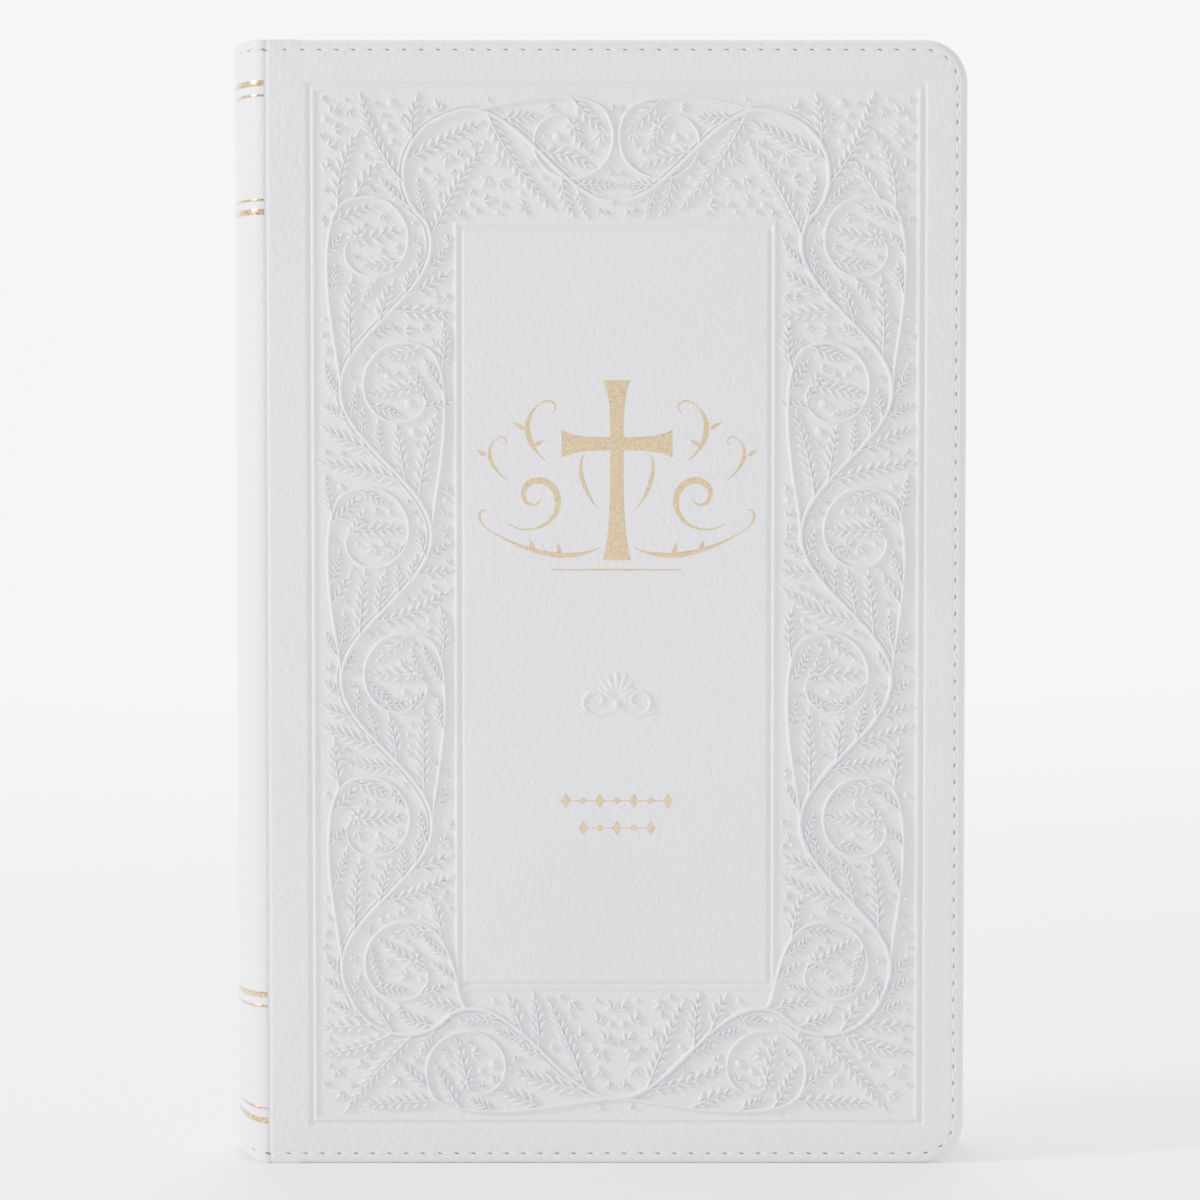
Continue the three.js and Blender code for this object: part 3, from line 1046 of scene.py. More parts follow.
@dataclass
class Relief:
    """Collects low relief in a cover's own plane: ridged stems, leaflets and berries."""

    stems: list[Array] = field(default_factory=list)
    stem_faces: list[Quads] = field(default_factory=list)
    leaves: list[tuple[float, float, float, float, float, float]] = field(default_factory=list)
    berries: list[tuple[float, float, float]] = field(default_factory=list)
    floor: float = -0.34
    stem_height: float = 0.45

    def stem(self, path: Array, widths: Array, height: float | None = None) -> None:
        """Adds a ridge along a path: a raised cosine across, as wide as given at each point.

        Args:
            path: u and v along the stem.
            widths: Full width at each point.
            height: Height at the middle of the widest point, or None for the usual one.
        """
        across, place = ribbon(path, widths, 7)
        top = self.stem_height if height is None else height
        ridge = np.cos(across * math.pi / 2)[None, :] ** 1.2
        rise = top * np.sqrt(widths / widths.max())[:, None] * ridge
        h = self.floor - 0.04 + rise
        points = np.concatenate([place, h[..., None]], axis=-1)
        offset = sum(len(p) for p in self.stems)
        self.stems.append(points.reshape(-1, 3))
        self.stem_faces.append(grid_quads(len(path), 7)[:, ::-1] + offset)

    def leaf(
        self, u: float, v: float, angle: float, length: float, width: float, height: float = 0.3
    ) -> None:
        """Adds a leaflet that starts at a place and points along an angle."""
        self.leaves.append((u, v, angle, length, width, height))

    def berry(self, u: float, v: float, radius: float) -> None:
        """Adds a round berry."""
        self.berries.append((u, v, radius))

    def frond(
        self,
        start: Array,
        heading: float,
        length: float,
        bend: float,
        leaf: float = 1.9,
        width: float = 0.65,
    ) -> Array:
        """Adds a curved stalk with leaflets in pairs, longest a third of the way up.

        Args:
            start: u and v of the stalk's foot.
            heading: The stalk's direction at its foot.
            length: The stalk's length.
            bend: How far the stalk turns over its length.
            leaf: The longest leaflet's length.
            width: The stalk's width at its foot.

        Returns:
            The stalk's points.
        """
        path = self.arc(start, heading, length, bend)
        self.stem(path, np.linspace(width, 0.34, len(path)), 0.76)
        pairs = max(2, int(length / (0.62 * leaf)))
        for k in range(pairs):
            t = (k + 1.0) / (pairs + 0.5)
            place = np.array([np.interp(t, np.linspace(0, 1, len(path)), path[:, c]) for c in (0, 1)])
            along = heading + bend * t
            size = leaf * (0.55 + 0.45 * math.sin(math.pi * min(1.0, 0.2 + 0.8 * t)))
            spread = math.radians(44 - 12 * t)
            for hand in (-1, 1):
                ahead = np.array([math.cos(along), math.sin(along)])
                u, v = place + LEAFLET_STAGGER * hand * leaf * ahead
                self.leaf(u, v, along + hand * spread, size, 0.3 * size + 0.12, 0.72)
        self.leaf(*path[-1], heading + bend, 0.9 * leaf, 0.7, 0.65)
        return path

    @staticmethod
    def arc(start: Array, heading: float, length: float, bend: float, steps: int = 14) -> Array:
        """A curve whose direction turns evenly.

        Args:
            start: u and v of its first point.
            heading: Its direction there.
            length: Its length.
            bend: How far it turns over its length.
            steps: How many points it has.

        Returns:
            Its points.
        """
        t = np.linspace(0, 1, steps)
        angle = heading + bend * (t[1:] + t[:-1]) / 2
        moves = np.stack([np.cos(angle), np.sin(angle)], axis=-1) * length / (steps - 1)
        return np.concatenate([[start], start + np.cumsum(moves, axis=0)])

    def leaf_points(self) -> tuple[Array, Quads]:
        """All leaflets. Across, each is a parabola, and along it swells and comes to a point.

        Returns:
            Points and faces.
        """
        u, v, angle, length, width, height = np.array(self.leaves).T
        t = np.array([0.0, 0.16, 0.42, 0.72, 1.0])[:, None]
        c = np.linspace(-1, 1, 5)[None, :]
        swell = np.sin(math.pi * t**0.8)
        x = t + 0 * c
        y = c * swell / 2 + 0.12 * t * (1 - t)
        z = (1 - c**2) * swell**0.7
        template = np.stack([x, y, z], axis=-1).reshape(-1, 3)
        zero = 0 * u
        along = np.stack([length * np.cos(angle), length * np.sin(angle), zero], axis=-1)
        across = np.stack([-width * np.sin(angle), width * np.cos(angle), zero], axis=-1)
        up = np.stack([zero, zero, height], axis=-1)
        origins = np.stack([u, v, np.full_like(u, self.floor - 0.03)], axis=-1)
        return instances(template, grid_quads(5, 5), origins, np.stack([along, across, up], axis=1))

    def berry_points(self) -> tuple[Array, Quads]:
        """All berries: domes whose height is a cosine of the distance from the middle.

        Returns:
            Points and faces.
        """
        u, v, radius = np.array(self.berries).T
        ring = np.array([0.0, 0.4, 0.75, 1.0])[:, None]
        turn = np.linspace(0, 2 * math.pi, 11)[None, :-1]
        x, y = ring * np.cos(turn), ring * np.sin(turn)
        z = np.cos(ring * math.pi / 2) ** 0.6 + 0 * turn
        template = np.stack([x, y, z], axis=-1).reshape(-1, 3)
        zero = 0 * u
        axes = np.stack(
            [
                np.stack([radius, zero, zero], axis=-1),
                np.stack([zero, radius, zero], axis=-1),
                np.stack([zero, zero, 0.55 + 0.2 * radius], axis=-1),
            ],
            axis=1,
        )
        origins = np.stack([u, v, np.full_like(u, self.floor - 0.03)], axis=-1)
        return instances(template, grid_quads(4, 10, closed_columns=True), origins, axes)

    def make(self, name: str, sizes: BookSizes, mirror_at: float | None = None) -> bpy.types.Object:
        """Turns what was collected into one piece on the front cover.

        Args:
            name: The piece's name.
            sizes: The book's sizes.
            mirror_at: Mirrors the work about this u, or None.

        Returns:
            The piece.
        """
        sets = [(np.concatenate(self.stems), np.concatenate(self.stem_faces)), self.leaf_points()]
        if self.berries:
            sets.append(self.berry_points())
        points, faces = joined(sets)
        if mirror_at is not None:
            points = points * [-1, 1, 1] + [2 * mirror_at, 0, 0]
        piece = make_piece(
            name,
            sizes.world(Side.FRONT, points),
            faces,
            LEATHER,
            "white_leather",
            flip=mirror_at is not None,
            weld=True,
        )
        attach(piece, "front_cover")
        return piece


@dataclass
class VineBorder:
    """The scrolling vine between the two rules: a waving stem, crooked branches, ferns, berries.

    It is drawn for the right half of the cover and mirrored to the left. The waving stem follows
    the middle of the band from the foot's centre to the head's centre, and a branch coils into
    each of its bays. Fern fronds grow from both sides of the stems, as long as fits, and what is
    still empty takes sprigs and berries.
    """

    sizes: BookSizes
    borders: Borders = field(default_factory=Borders)
    seed: int = 7
    waves: float = 4.5
    sway: float = 8.6
    margin: float = 0.8
    cell: float = 0.4

    def __post_init__(self) -> None:
        """Sets up the relief, the random numbers and the map of which stem took which cell."""
        self.work = Relief()
        self.random = np.random.default_rng(self.seed)
        self.centre = (self.borders.outer[0] + self.borders.outer[1]) / 2
        self.owner = np.zeros((int(140 / self.cell), int(220 / self.cell)), dtype=np.int32)
        self.numbers = 2

    def room(self, points: Array) -> Array:
        """How far points are inside the band, on the right half, from the nearest rule.

        Args:
            points: u and v along the last axis.

        Returns:
            The distance, below 0 outside.
        """
        u, v = points[..., 0], points[..., 1]
        outer = self.borders.inside(self.borders.outer, u, v) - 0.2 - 2 * self.borders.spacing
        left, right, bottom, top = self.borders.inner
        gap_u = np.maximum(left - u, u - right)
        gap_v = np.maximum(bottom - v, v - top)
        return np.minimum(np.minimum(outer, np.maximum(gap_u, gap_v)), u - self.centre + 0.9)

    def centreline(self) -> Array:
        """The middle of the band's right half, from foot to head, with round corners.

        Returns:
            u and v of its points, evenly spaced.
        """
        o, i = self.borders.outer, self.borders.inner
        right = (i[1] + o[1] - 1.7) / 2
        bottom = (o[2] + 1.7 + i[2]) / 2
        top = (o[3] - 1.7 + i[3]) / 2
        radius = 12.0
        turn = np.linspace(0, math.pi / 2, 16)
        low = np.stack([np.sin(turn), 1 - np.cos(turn)], axis=-1) * radius + [right - radius, bottom]
        high = low[::-1] * [1, -1] + [0, top + bottom]
        corners = np.concatenate([[[self.centre, bottom]], low, high, [[self.centre, top]]])
        run = runs(corners)
        fine = np.linspace(0, run[-1], 900)
        return np.stack([np.interp(fine, run, corners[:, k]) for k in (0, 1)], axis=-1)

    def cells(self, points: Array) -> tuple[Array, Array]:
        """The map's cell of each point."""
        at = np.clip((points / self.cell).astype(int), 0, np.array(self.owner.shape) - 1)
        return at[..., 0], at[..., 1]

    def mark(self, points: Array, spread: float, number: int) -> None:
        """Gives the free cells near some points to a stem.

        Args:
            points: u and v of the points.
            spread: How near a cell has to be.
            number: The stem's number.
        """
        reach = int(math.ceil(spread / self.cell))
        offsets = np.arange(-reach, reach + 1)
        du, dv = np.meshgrid(offsets, offsets, indexing="ij")
        near = np.hypot(du, dv) * self.cell <= spread + 0.1
        moves = np.stack([du[near], dv[near]], axis=-1) * self.cell
        u, v = self.cells(points[:, None, :] + moves[None])
        self.owner[u, v] = np.where(self.owner[u, v] == 0, number, self.owner[u, v])

    def is_free(self, points: Array, parent: int = 0) -> Array:
        """Whether each point is inside the band, in a cell that is free or its parent's."""
        taken_by = self.owner[self.cells(points)]
        return ((taken_by == 0) | (taken_by == parent)) & (self.room(points) > self.margin)

    def try_frond(
        self, start: Array, heading: float, longest: float, bend: float, leaf: float, parent: int
    ) -> bool:
        """Adds a frond as long as fits, if that is at least twice its leaflets' length.

        Args:
            start: The frond's foot.
            heading: Its direction there.
            longest: The longest that it may be.
            bend: How far it turns over its longest length.
            leaf: Its longest leaflet.
            parent: The number of the stem that it grows from.

        Returns:
            Whether it was added.
        """
        path = Relief.arc(start, heading, longest, bend, 60)
        _, normal = sides(path)
        distance = np.linspace(0, longest, 60)
        own_stem = np.where(distance < 5.0, parent, 0)
        free = self.is_free(path, own_stem)
        for hand in (-0.5, 0.5):
            free &= self.is_free(path + normal * hand * leaf, own_stem) | (distance < 2.6)
        free |= distance < 1.0
        blocked = np.flatnonzero(~free)
        share = (blocked[0] if len(blocked) else 59) / 59
        length = longest * share - 0.5 * leaf
        if length < 2.2 * leaf:
            return False
        path = self.work.frond(start, heading, length, bend * length / longest, leaf)
        self.mark(path[2:], 0.55 * leaf, self.numbers)
        self.numbers += 1
        return True

    def draw_stems(self) -> list[tuple[Array, int]]:
        """Draws the waving stem, a cosine wave about the centreline, and a crook in each bay.

        A crook follows the wave at first. Then it goes round the bay's centre on a spiral whose
        radius shrinks evenly with its angle.

        Returns:
            The stems' paths, each with its number on the map.
        """
        middle = self.centreline()
        _, normal = sides(middle)
        t = np.linspace(0, 1, len(middle))
        wave = middle + normal * (self.sway * np.cos(2 * math.pi * self.waves * t))[:, None]
        _, aside = sides(wave)
        self.work.stem(wave[::3], np.full(len(wave[::3]), 1.2), 0.8)
        self.work.stem((wave + aside * 0.95)[10:-10:3], np.full(len(wave[10:-10:3]), 0.6), 0.48)
        self.mark(wave, 1.0, 1)
        stems = [(wave, 1)]
        bays = int(2 * self.waves)
        for bay in range(1, bays + 1):
            hand = 1 if bay % 2 == 0 else -1
            at = min(int(bay / bays * (len(middle) - 1)), len(middle) - 1)
            ahead = np.gradient(middle, axis=0)[at]
            ahead /= np.linalg.norm(ahead)
            out = normal[at] * hand
            hub = middle[at] - out * 3.6 - ahead * (0.0 if bay < bays else 9.5)
            k = np.linspace(0, 1, 110)
            angle = math.radians(-150) + math.radians(455) * k
            radius = 9.4 * (1 - k) ** 0.75 + 2.4
            radius = np.minimum(radius, 8.9)
            way = np.cos(angle)[:, None] * ahead + np.sin(angle)[:, None] * out
            coil = hub + radius[:, None] * way
            root = np.interp(k * 0.45, [0, 1], [(bay - 1) / bays, bay / bays]) * (len(middle) - 1)
            steps = np.arange(len(wave))
            host = np.stack([np.interp(root, steps, wave[:, c]) for c in (0, 1)], axis=-1)
            join = np.clip(k / 0.26, 0, 1)[:, None]
            crook = host + (coil - host) * join**2 * (3 - 2 * join)
            outside = np.flatnonzero(self.room(crook[20:]) < self.margin)
            if len(outside):
                crook = crook[: 20 + outside[0]]
            if len(crook) < 40:
                continue
            number = self.numbers
            self.numbers += 1
            widths = np.interp(np.linspace(0, 1, len(crook)), [0, 0.5, 1], [1.05, 0.9, 0.55])
            self.work.stem(crook, widths, 0.75)
            self.mark(crook[6:], 0.7, number)
            self.flower(crook[-1], angle[len(crook) - 1], 1.25, number)
            stems.append((crook, number))
        return stems

    def flower(self, place: Array, heading: float, size: float, number: int) -> None:
        """Adds a bud with petals round it.

        Args:
            place: u and v of its middle.
            heading: The direction of its first petal.
            size: Its size, about a third of its width.
            number: The number of the stem that it ends.
        """
        for k in range(7):
            angle = heading + 2 * math.pi * k / 7
            start = place + 0.35 * size * np.array([math.cos(angle), math.sin(angle)])
            self.work.leaf(*start, angle, 1.3 * size, 0.72 * size, 0.7)
        self.work.berry(*place, 0.5 * size)
        self.mark(place[None], 1.55 * size, number)

    def draw_fronds(self, stems: list[tuple[Array, int]]) -> None:
        """Grows fronds from both sides of every stem: long ones, then shorter ones between.

        Args:
            stems: The stems' paths and numbers.
        """
        for leaf, spacing, longest in ((2.8, 4.0, 21.0), (2.4, 2.2, 14.0), (1.9, 1.4, 9.0)):
            for stem, number in stems:
                run = runs(stem)
                along = np.gradient(stem, axis=0)
                for distance in np.arange(2.0, run[-1] - 1.0, spacing):
                    at = min(int(np.searchsorted(run, distance)), len(stem) - 1)
                    base = math.atan2(along[at, 1], along[at, 0])
                    for hand in (-1, 1):
                        spread = hand * self.random.uniform(0.5, 0.85)
                        bend = -hand * self.random.uniform(-0.3, 0.9)
                        reach = longest * self.random.uniform(0.75, 1.1)
                        self.try_frond(stem[at], base + spread, reach, bend, leaf, number)

    def fill_gaps(self) -> None:
        """Puts sprigs of three leaves, single leaves and berries where there is still room."""
        _, right, bottom, top = self.borders.outer
        for size, tries in ((2.2, 6000), (1.6, 9000), (1.1, 12000)):
            places = self.random.uniform([self.centre, bottom], [right, top], (tries, 2))
            angles = self.random.uniform(-math.pi, math.pi, tries)
            kinds = self.random.random(tries)
            around = np.linspace(0, 2 * math.pi, 9)[:8]
            for place, angle, kind in zip(places, angles, kinds):
                probe = place + 0.62 * size * np.stack([np.cos(around), np.sin(around)], axis=-1)
                if not self.is_free(np.concatenate([probe, place[None]])).all():
                    continue
                if kind < 0.2:
                    self.work.berry(*place, 0.45 * size)
                    self.mark(place[None], 0.62 * size, self.numbers)
                    continue
                back = place - 0.75 * size * np.array([math.cos(angle), math.sin(angle)])
                for turn, share in ((0, 1.35), (-0.75, 0.95), (0.75, 0.95)):
                    self.work.leaf(*back, angle + turn, share * size, 0.36 * size, 0.66)
                self.mark(place[None], 0.72 * size, self.numbers)

    def build(self) -> None:
        """Draws the vine and makes its two halves."""
        stems = self.draw_stems()
        self.draw_fronds(stems)
        self.fill_gaps()
        LOG.info("vine: %d leaflets, %d berries", len(self.work.leaves), len(self.work.berries))
        self.work.make("vine_border_fore_edge_half", self.sizes)
        self.work.make("vine_border_spine_half", self.sizes, mirror_at=self.centre)


@dataclass
class BlindPalmette:
    """A small ornament pressed without gold: a fan of leaves over two facing scrolls."""

    sizes: BookSizes
    height_at: float = 90.0

    def build(self) -> None:
        """Makes the ornament."""
        work = Relief(floor=-0.02, stem_height=0.5)
        centre = self.sizes.width / 2
        for k in range(-3, 4):
            angle = math.pi / 2 + 0.36 * k
            start = (centre + 0.5 * math.cos(angle), self.height_at - 1.2 + 0.5 * math.sin(angle))
            work.leaf(*start, angle, 5.6 - 0.5 * abs(k), 1.45, 0.5)
        for hand in (-1, 1):
            t = np.linspace(0, 1, 46)
            turn = math.pi * (-0.5 + 2.15 * t)
            radius = 2.7 * (1 - 0.78 * t)
            u = centre + hand * (4.0 + radius * np.cos(turn) * 1.05)
            v = self.height_at - 1.6 + radius * np.sin(turn)
            foot = self.height_at - 3.6
            start = np.stack([np.linspace(centre, u[0], 8), np.linspace(foot, v[0], 8)], axis=-1)
            path = np.concatenate([start[:-1], np.stack([u, v], axis=-1)])
            work.stem(path, np.interp(np.linspace(0, 1, len(path)), [0, 0.4, 1], [0.55, 1.05, 0.5]))
            angle = math.pi / 2 - hand * 1.2
            work.leaf(centre + hand * 5.2, self.height_at - 4.2, angle, 2.8, 1.0, 0.45)
        work.berry(centre, self.height_at - 2.2, 0.95)
        work.make("blind_palmette", self.sizes)


# ---------------------------------------------------------------------------------------------
# Gold tooling
# ---------------------------------------------------------------------------------------------


@dataclass
class GoldTooling:
    """The front cover's foil: a flared cross between calligraphic scrolls, a rule and lozenges."""

    sizes: BookSizes
    emblem_at: float = 132.0
    film: float = 0.04

    def stroke(self, path: Array, widths: Array) -> tuple[Array, Quads]:
        """A pen stroke of foil: a strip along a path, very slightly crowned.

        Args:
            path: u and v along the stroke.
            widths: Full width at each point.

        Returns:
            Points and faces.
        """
        across, place = ribbon(path, widths, 5)
        h = self.film * (1 - 0.8 * across**4)[None, :] + 0 * widths[:, None]
        points = np.concatenate([place, h[..., None]], axis=-1).reshape(-1, 3)
        return points, grid_quads(len(path), 5)[:, ::-1]

    def emit(self, name: str, strokes: list[tuple[Array, Quads]], *nodes: str) -> None:
        """Joins strokes into one foil piece.

        Args:
            name: The piece's name.
            strokes: Points and faces of each stroke.
            *nodes: The CAD nodes that the piece stands for.
        """
        points, faces = joined(strokes)
        piece = make_piece(name, self.sizes.world(Side.FRONT, points), faces, COVER_FOIL, "gold_foil")
        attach(piece, "front_cover")
        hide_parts(*nodes)

    @staticmethod
    def bezier(points: list[tuple[float, float]], steps: int = 40) -> Array:
        """A cubic curve: four control points weighted by the terms of (1 - t + t) cubed.

        Args:
            points: The control points.
            steps: How many points the curve has.

        Returns:
            Its points.
        """
        p = np.array(points)
        t = np.linspace(0, 1, steps)[:, None]
        first_half = (1 - t) ** 3 * p[0] + 3 * (1 - t) ** 2 * t * p[1]
        return first_half + 3 * (1 - t) * t**2 * p[2] + t**3 * p[3]

    @staticmethod
    def pen(steps: int, thin: float, thick: float, peak: float = 0.5) -> Array:
        """A pen's width along a stroke: thin at both ends and thick round its peak.

        Args:
            steps: How many points the stroke has.
            thin: The width at the ends.
            thick: The width at the peak.
            peak: How far along the peak is, from 0 to 1.

        Returns:
            The width at each point.
        """
        t = np.linspace(0, 1, steps)
        swell = np.where(t < peak, t / peak, (1 - t) / (1 - peak))
        return thin + (thick - thin) * np.sin(swell * math.pi / 2) ** 1.6

    def cross(self) -> list[tuple[Array, Quads]]:
        """A cross of two bars that widen to their ends.

        Returns:
            Its two strokes.
        """
        centre, bar = self.sizes.width / 2, self.emblem_at + 5.0
        strokes = []
        t = np.linspace(0, 1, 40)
        upright = np.stack([0 * t + centre, self.emblem_at + 17 - 34 * t], axis=-1)
        place = np.abs(upright[:, 1] - bar)
        reach = np.where(upright[:, 1] > bar, 12.0, 22.0)
        strokes.append(self.stroke(upright, 2.6 + 2.8 * (place / reach) ** 4))
        beam = np.stack([centre - 10.5 + 21 * t, 0 * t + bar], axis=-1)
        strokes.append(self.stroke(beam, 2.6 + 2.8 * np.abs(beam[:, 0] - centre) ** 4 / 10.5**4))
        return strokes

    def scroll(self, hand: int) -> list[tuple[Array, Quads]]:
        """One side's flourish: a spiral, swashes below and beside it, and small leaves.

        Args:
            hand: 1 on the fore-edge side and -1 on the spine side.

        Returns:
            Its strokes.
        """
        centre = self.sizes.width / 2
        base = self.emblem_at

        def put(points: Array) -> Array:
            """Places points that are given for the right side."""
            return points * [hand, 1] + [centre, base]

        t = np.linspace(0, 1, 90)
        angle = math.pi * (-0.75 + 2.7 * t)
        radius = 7.2 * (1.1 / 7.2) ** t
        spiral = np.stack([15.5 - radius * np.cos(angle), -5 + radius * np.sin(angle)], axis=-1)
        strokes = [self.stroke(put(spiral), self.pen(90, 0.3, 1.35, 0.35))]
        curves = [
            ([(3.2, -14.5), (8.5, -17.5), (17.0, -16.0), (24.6, -11.0)], 0.28, 1.1, 0.4),
            ([(3.4, -7.5), (7.0, -3.5), (7.6, 2.0), (6.0, 3.0)], 0.25, 0.9, 0.4),
            ([(13.5, 1.9), (17.0, 4.5), (18.5, 9.5), (14.5, 12.6)], 0.28, 1.15, 0.5),
            ([(14.5, 12.6), (12.4, 14.0), (10.6, 11.9), (12.2, 10.8)], 0.28, 0.5, 0.3),
            ([(20.6, -2.0), (24.0, 0.5), (25.4, 4.0), (22.6, 6.0)], 0.25, 0.85, 0.5),
            ([(22.6, 6.0), (21.3, 6.9), (20.2, 5.4), (21.4, 4.8)], 0.25, 0.4, 0.4),
            ([(24.6, -11.0), (26.6, -9.4), (26.2, -7.0), (24.6, -7.6)], 0.28, 0.6, 0.4),
        ]
        for points, thin, thick, peak in curves:
            strokes.append(self.stroke(put(self.bezier(points)), self.pen(40, thin, thick, peak)))
        for u, v, angle_deg, length in (
            (17.2, 7.6, 30, 3.2),
            (16.0, 4.4, 150, 2.8),
            (24.6, 2.6, 35, 2.4),
            (10.6, -16.2, 75, 3.0),
            (15.6, -15.4, 70, 2.6),
        ):
            turn = math.radians(angle_deg)
            way = np.array([math.cos(turn), math.sin(turn)])
            leaf = np.array([u, v]) + np.linspace(0, 1, 14)[:, None] * way * length
            strokes.append(self.stroke(put(leaf), self.pen(14, 0.08, 0.95, 0.4)))
        return strokes

    def lozenges(self, length: float, height: float) -> list[tuple[Array, Quads]]:
        """A row of lozenges, tall and short in turn, strung on a fine line.

        Args:
            length: The row's length.
            height: Its height up the cover.

        Returns:
            Its strokes.
        """
        centre = self.sizes.width / 2
        count = round(length / 3.2)
        step = length / count
        strokes = []
        for k in range(count):
            u = centre - length / 2 + (k + 0.5) * step
            half = 1.5 if k % 2 == 0 else 0.75
            t = np.linspace(-1, 1, 9)
            path = np.stack([0 * t + u, height + half * t], axis=-1)
            strokes.append(self.stroke(path, 0.02 + step * 0.62 * (1 - np.abs(t))))
        t = np.linspace(-0.5, 0.5, 12)
        line = np.stack([centre + t * (length - step), 0 * t + height], axis=-1)
        strokes.append(self.stroke(line, np.full(12, 0.26)))
        return strokes

    def build(self) -> None:
        """Makes every piece of foil on the cover."""
        self.emit("gold_cross", self.cross(), "foil_cross")
        self.emit("gold_scroll_spine_side", self.scroll(-1), "foil_scroll_left")
        self.emit("gold_scroll_fore_edge_side", self.scroll(1), "foil_scroll_right")
        t = np.linspace(-0.5, 0.5, 30)
        centre = self.sizes.width / 2
        rule = np.stack([centre + 24.6 * t, 0 * t + 113.2], axis=-1)
        self.emit("gold_rule", [self.stroke(rule, self.pen(30, 0.3, 0.5))], "foil_rule")
        self.emit("gold_lozenges_upper", self.lozenges(22.6, 69.4), "foil_row_upper")
        self.emit("gold_lozenges_lower", self.lozenges(16.0, 64.2), "foil_row_lower")


# ---------------------------------------------------------------------------------------------
# Spine
# ---------------------------------------------------------------------------------------------


@dataclass
class SpineLeather:
    """The spine's leather: a half ellipse in section, rolled in at head and tail, with gold bands."""

    sizes: BookSizes
    stitches: Stitches = field(default_factory=Stitches)
    bands: tuple[tuple[float, float], ...] = ((8.3, 1.2), (10.6, 0.6), (30.2, 0.6), (32.4, 1.2))
    roll: float = 0.85
    turn_in: float = 11.0
    head_drop: float = 0.15
    tail_rise: float = 1.9

    def surface(self, angle: Array, depth: Array, z: Array) -> Array:
        """A place on the spine: on the ellipse at an angle, moved in along its normal.

        Args:
            angle: The ellipse's parameter, from the front fold to the back fold.
            depth: Distance inside the outer surface.
            z: Height.

        Returns:
            Places in metres.
        """
        s = self.sizes
        normal = self.normal(angle)
        x = s.crease - s.spine_reach * np.cos(angle) - normal[..., 0] * depth
        y = s.face * np.sin(angle) - normal[..., 1] * depth
        return np.stack([x + 0 * z, y + 0 * z, z + 0 * angle], axis=-1) * MM

    def normal(self, angle: Array) -> Array:
        """The ellipse's outward direction: its gradient, made one long.

        Args:
            angle: The ellipse's parameter.

        Returns:
            x, y and z along the last axis.
        """
        s = self.sizes
        n = np.stack([-np.cos(angle) / s.spine_reach, np.sin(angle) / s.face, 0 * angle], axis=-1)
        return n / np.linalg.norm(n, axis=-1, keepdims=True)

    def angles(self, count: int, trim: float = 0.0) -> Array:
        """Angles from fold to fold, closer together at the folds.

        Args:
            count: How many there are.
            trim: What is left off at each end, in radians.

        Returns:
            The angles.
        """
        limit = math.pi / 2 - trim
        t = np.linspace(-1, 1, count)
        return limit * np.sign(t) * (1 - (1 - np.abs(t)) ** 1.25)

    def end_height(self, angle: Array, end: End) -> Array:
        """Height of the spine's head or tail. Towards the middle the head dips and the tail rises.

        Args:
            angle: The ellipse's parameter.
            end: Which end.

        Returns:
            The height.
        """
        if end is End.HEAD:
            return self.sizes.height - self.head_drop * np.cos(angle) ** 1.5
        return self.tail_rise * np.cos(angle) ** 2

    def lift(self, angle: Array, z: Array) -> Array:
        """How far the curve of the ends moves a place. It fades out over a sixth of the height.

        Args:
            angle: The ellipse's parameter.
            z: Height.

        Returns:
            The move up, in millimetres.
        """
        height = self.sizes.height
        share = np.clip(z / height, 0, 1)
        low, high = self.end_height(angle, End.TAIL), self.end_height(angle, End.HEAD)
        return low * np.clip(1 - share * 6, 0, 1) + (high - height) * np.clip(share * 6 - 5, 0, 1)

    def fold(self, angle: Array) -> Array:
        """Depth of the crease along each fold of the spine."""
        return 0.2 * bell((math.pi / 2 - np.abs(angle)) * self.sizes.spine_reach, 0.4)

    def band_places(self) -> list[tuple[float, float]]:
        """The middle height and width of each gold band."""
        height = self.sizes.height
        return [(z, w) for d, w in self.bands for z in (d, height - d)]

    def build_skin(self) -> None:
        """Makes the leather as one grid, from inside the tail, up the outside, to inside the head."""
        angle = self.angles(61)[:, None]
        turn = np.linspace(math.pi, 0, 11)
        inner = 2 * self.roll
        tail_in = np.array([[inner, self.turn_in], [inner, self.turn_in / 2], [inner, self.roll * 2]])
        tail_roll = self.roll - self.roll * np.stack([np.cos(turn), np.sin(turn)], axis=-1)
        height = self.sizes.height
        up = lines(
            (self.roll + 0.3, 3.6, 0.2),
            (4, 36, 0.4),
            (38, height - 38, 4),
            (height - 36, height - 4, 0.4),
            (height - 3.6, height - self.roll - 0.3, 0.2),
        )
        tail = np.concatenate([tail_in, tail_roll])
        depth = np.concatenate([tail[:, 0], 0 * up, tail[::-1, 0]])
        z = np.concatenate([tail[:, 1], up, height - tail[::-1, 1]])
        place = z[None, :] + self.lift(angle, z[None, :])
        from_end = np.minimum(z, height - z)[None, :]
        sink = 0.14 * bell(from_end - self.stitches.inset, GROOVE_WIDTH)
        for middle, width in self.band_places():
            inside = np.clip(0.5 - (np.abs(z[None, :] - middle) - width / 2) / 0.4, 0, 1)
            sink = sink + 0.05 * inside
        outside = (depth < self.roll)[None, :]
        total = depth[None, :] + np.where(outside, sink + self.fold(angle), self.fold(angle))
        points = self.surface(angle + 0 * z[None, :], total, place)
        piece = make_piece(
            "spine_skin", points, grid_quads(*points.shape[:2]), LEATHER, "white_leather", flip=True
        )
        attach(piece, "spine")
        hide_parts("spine_leather")

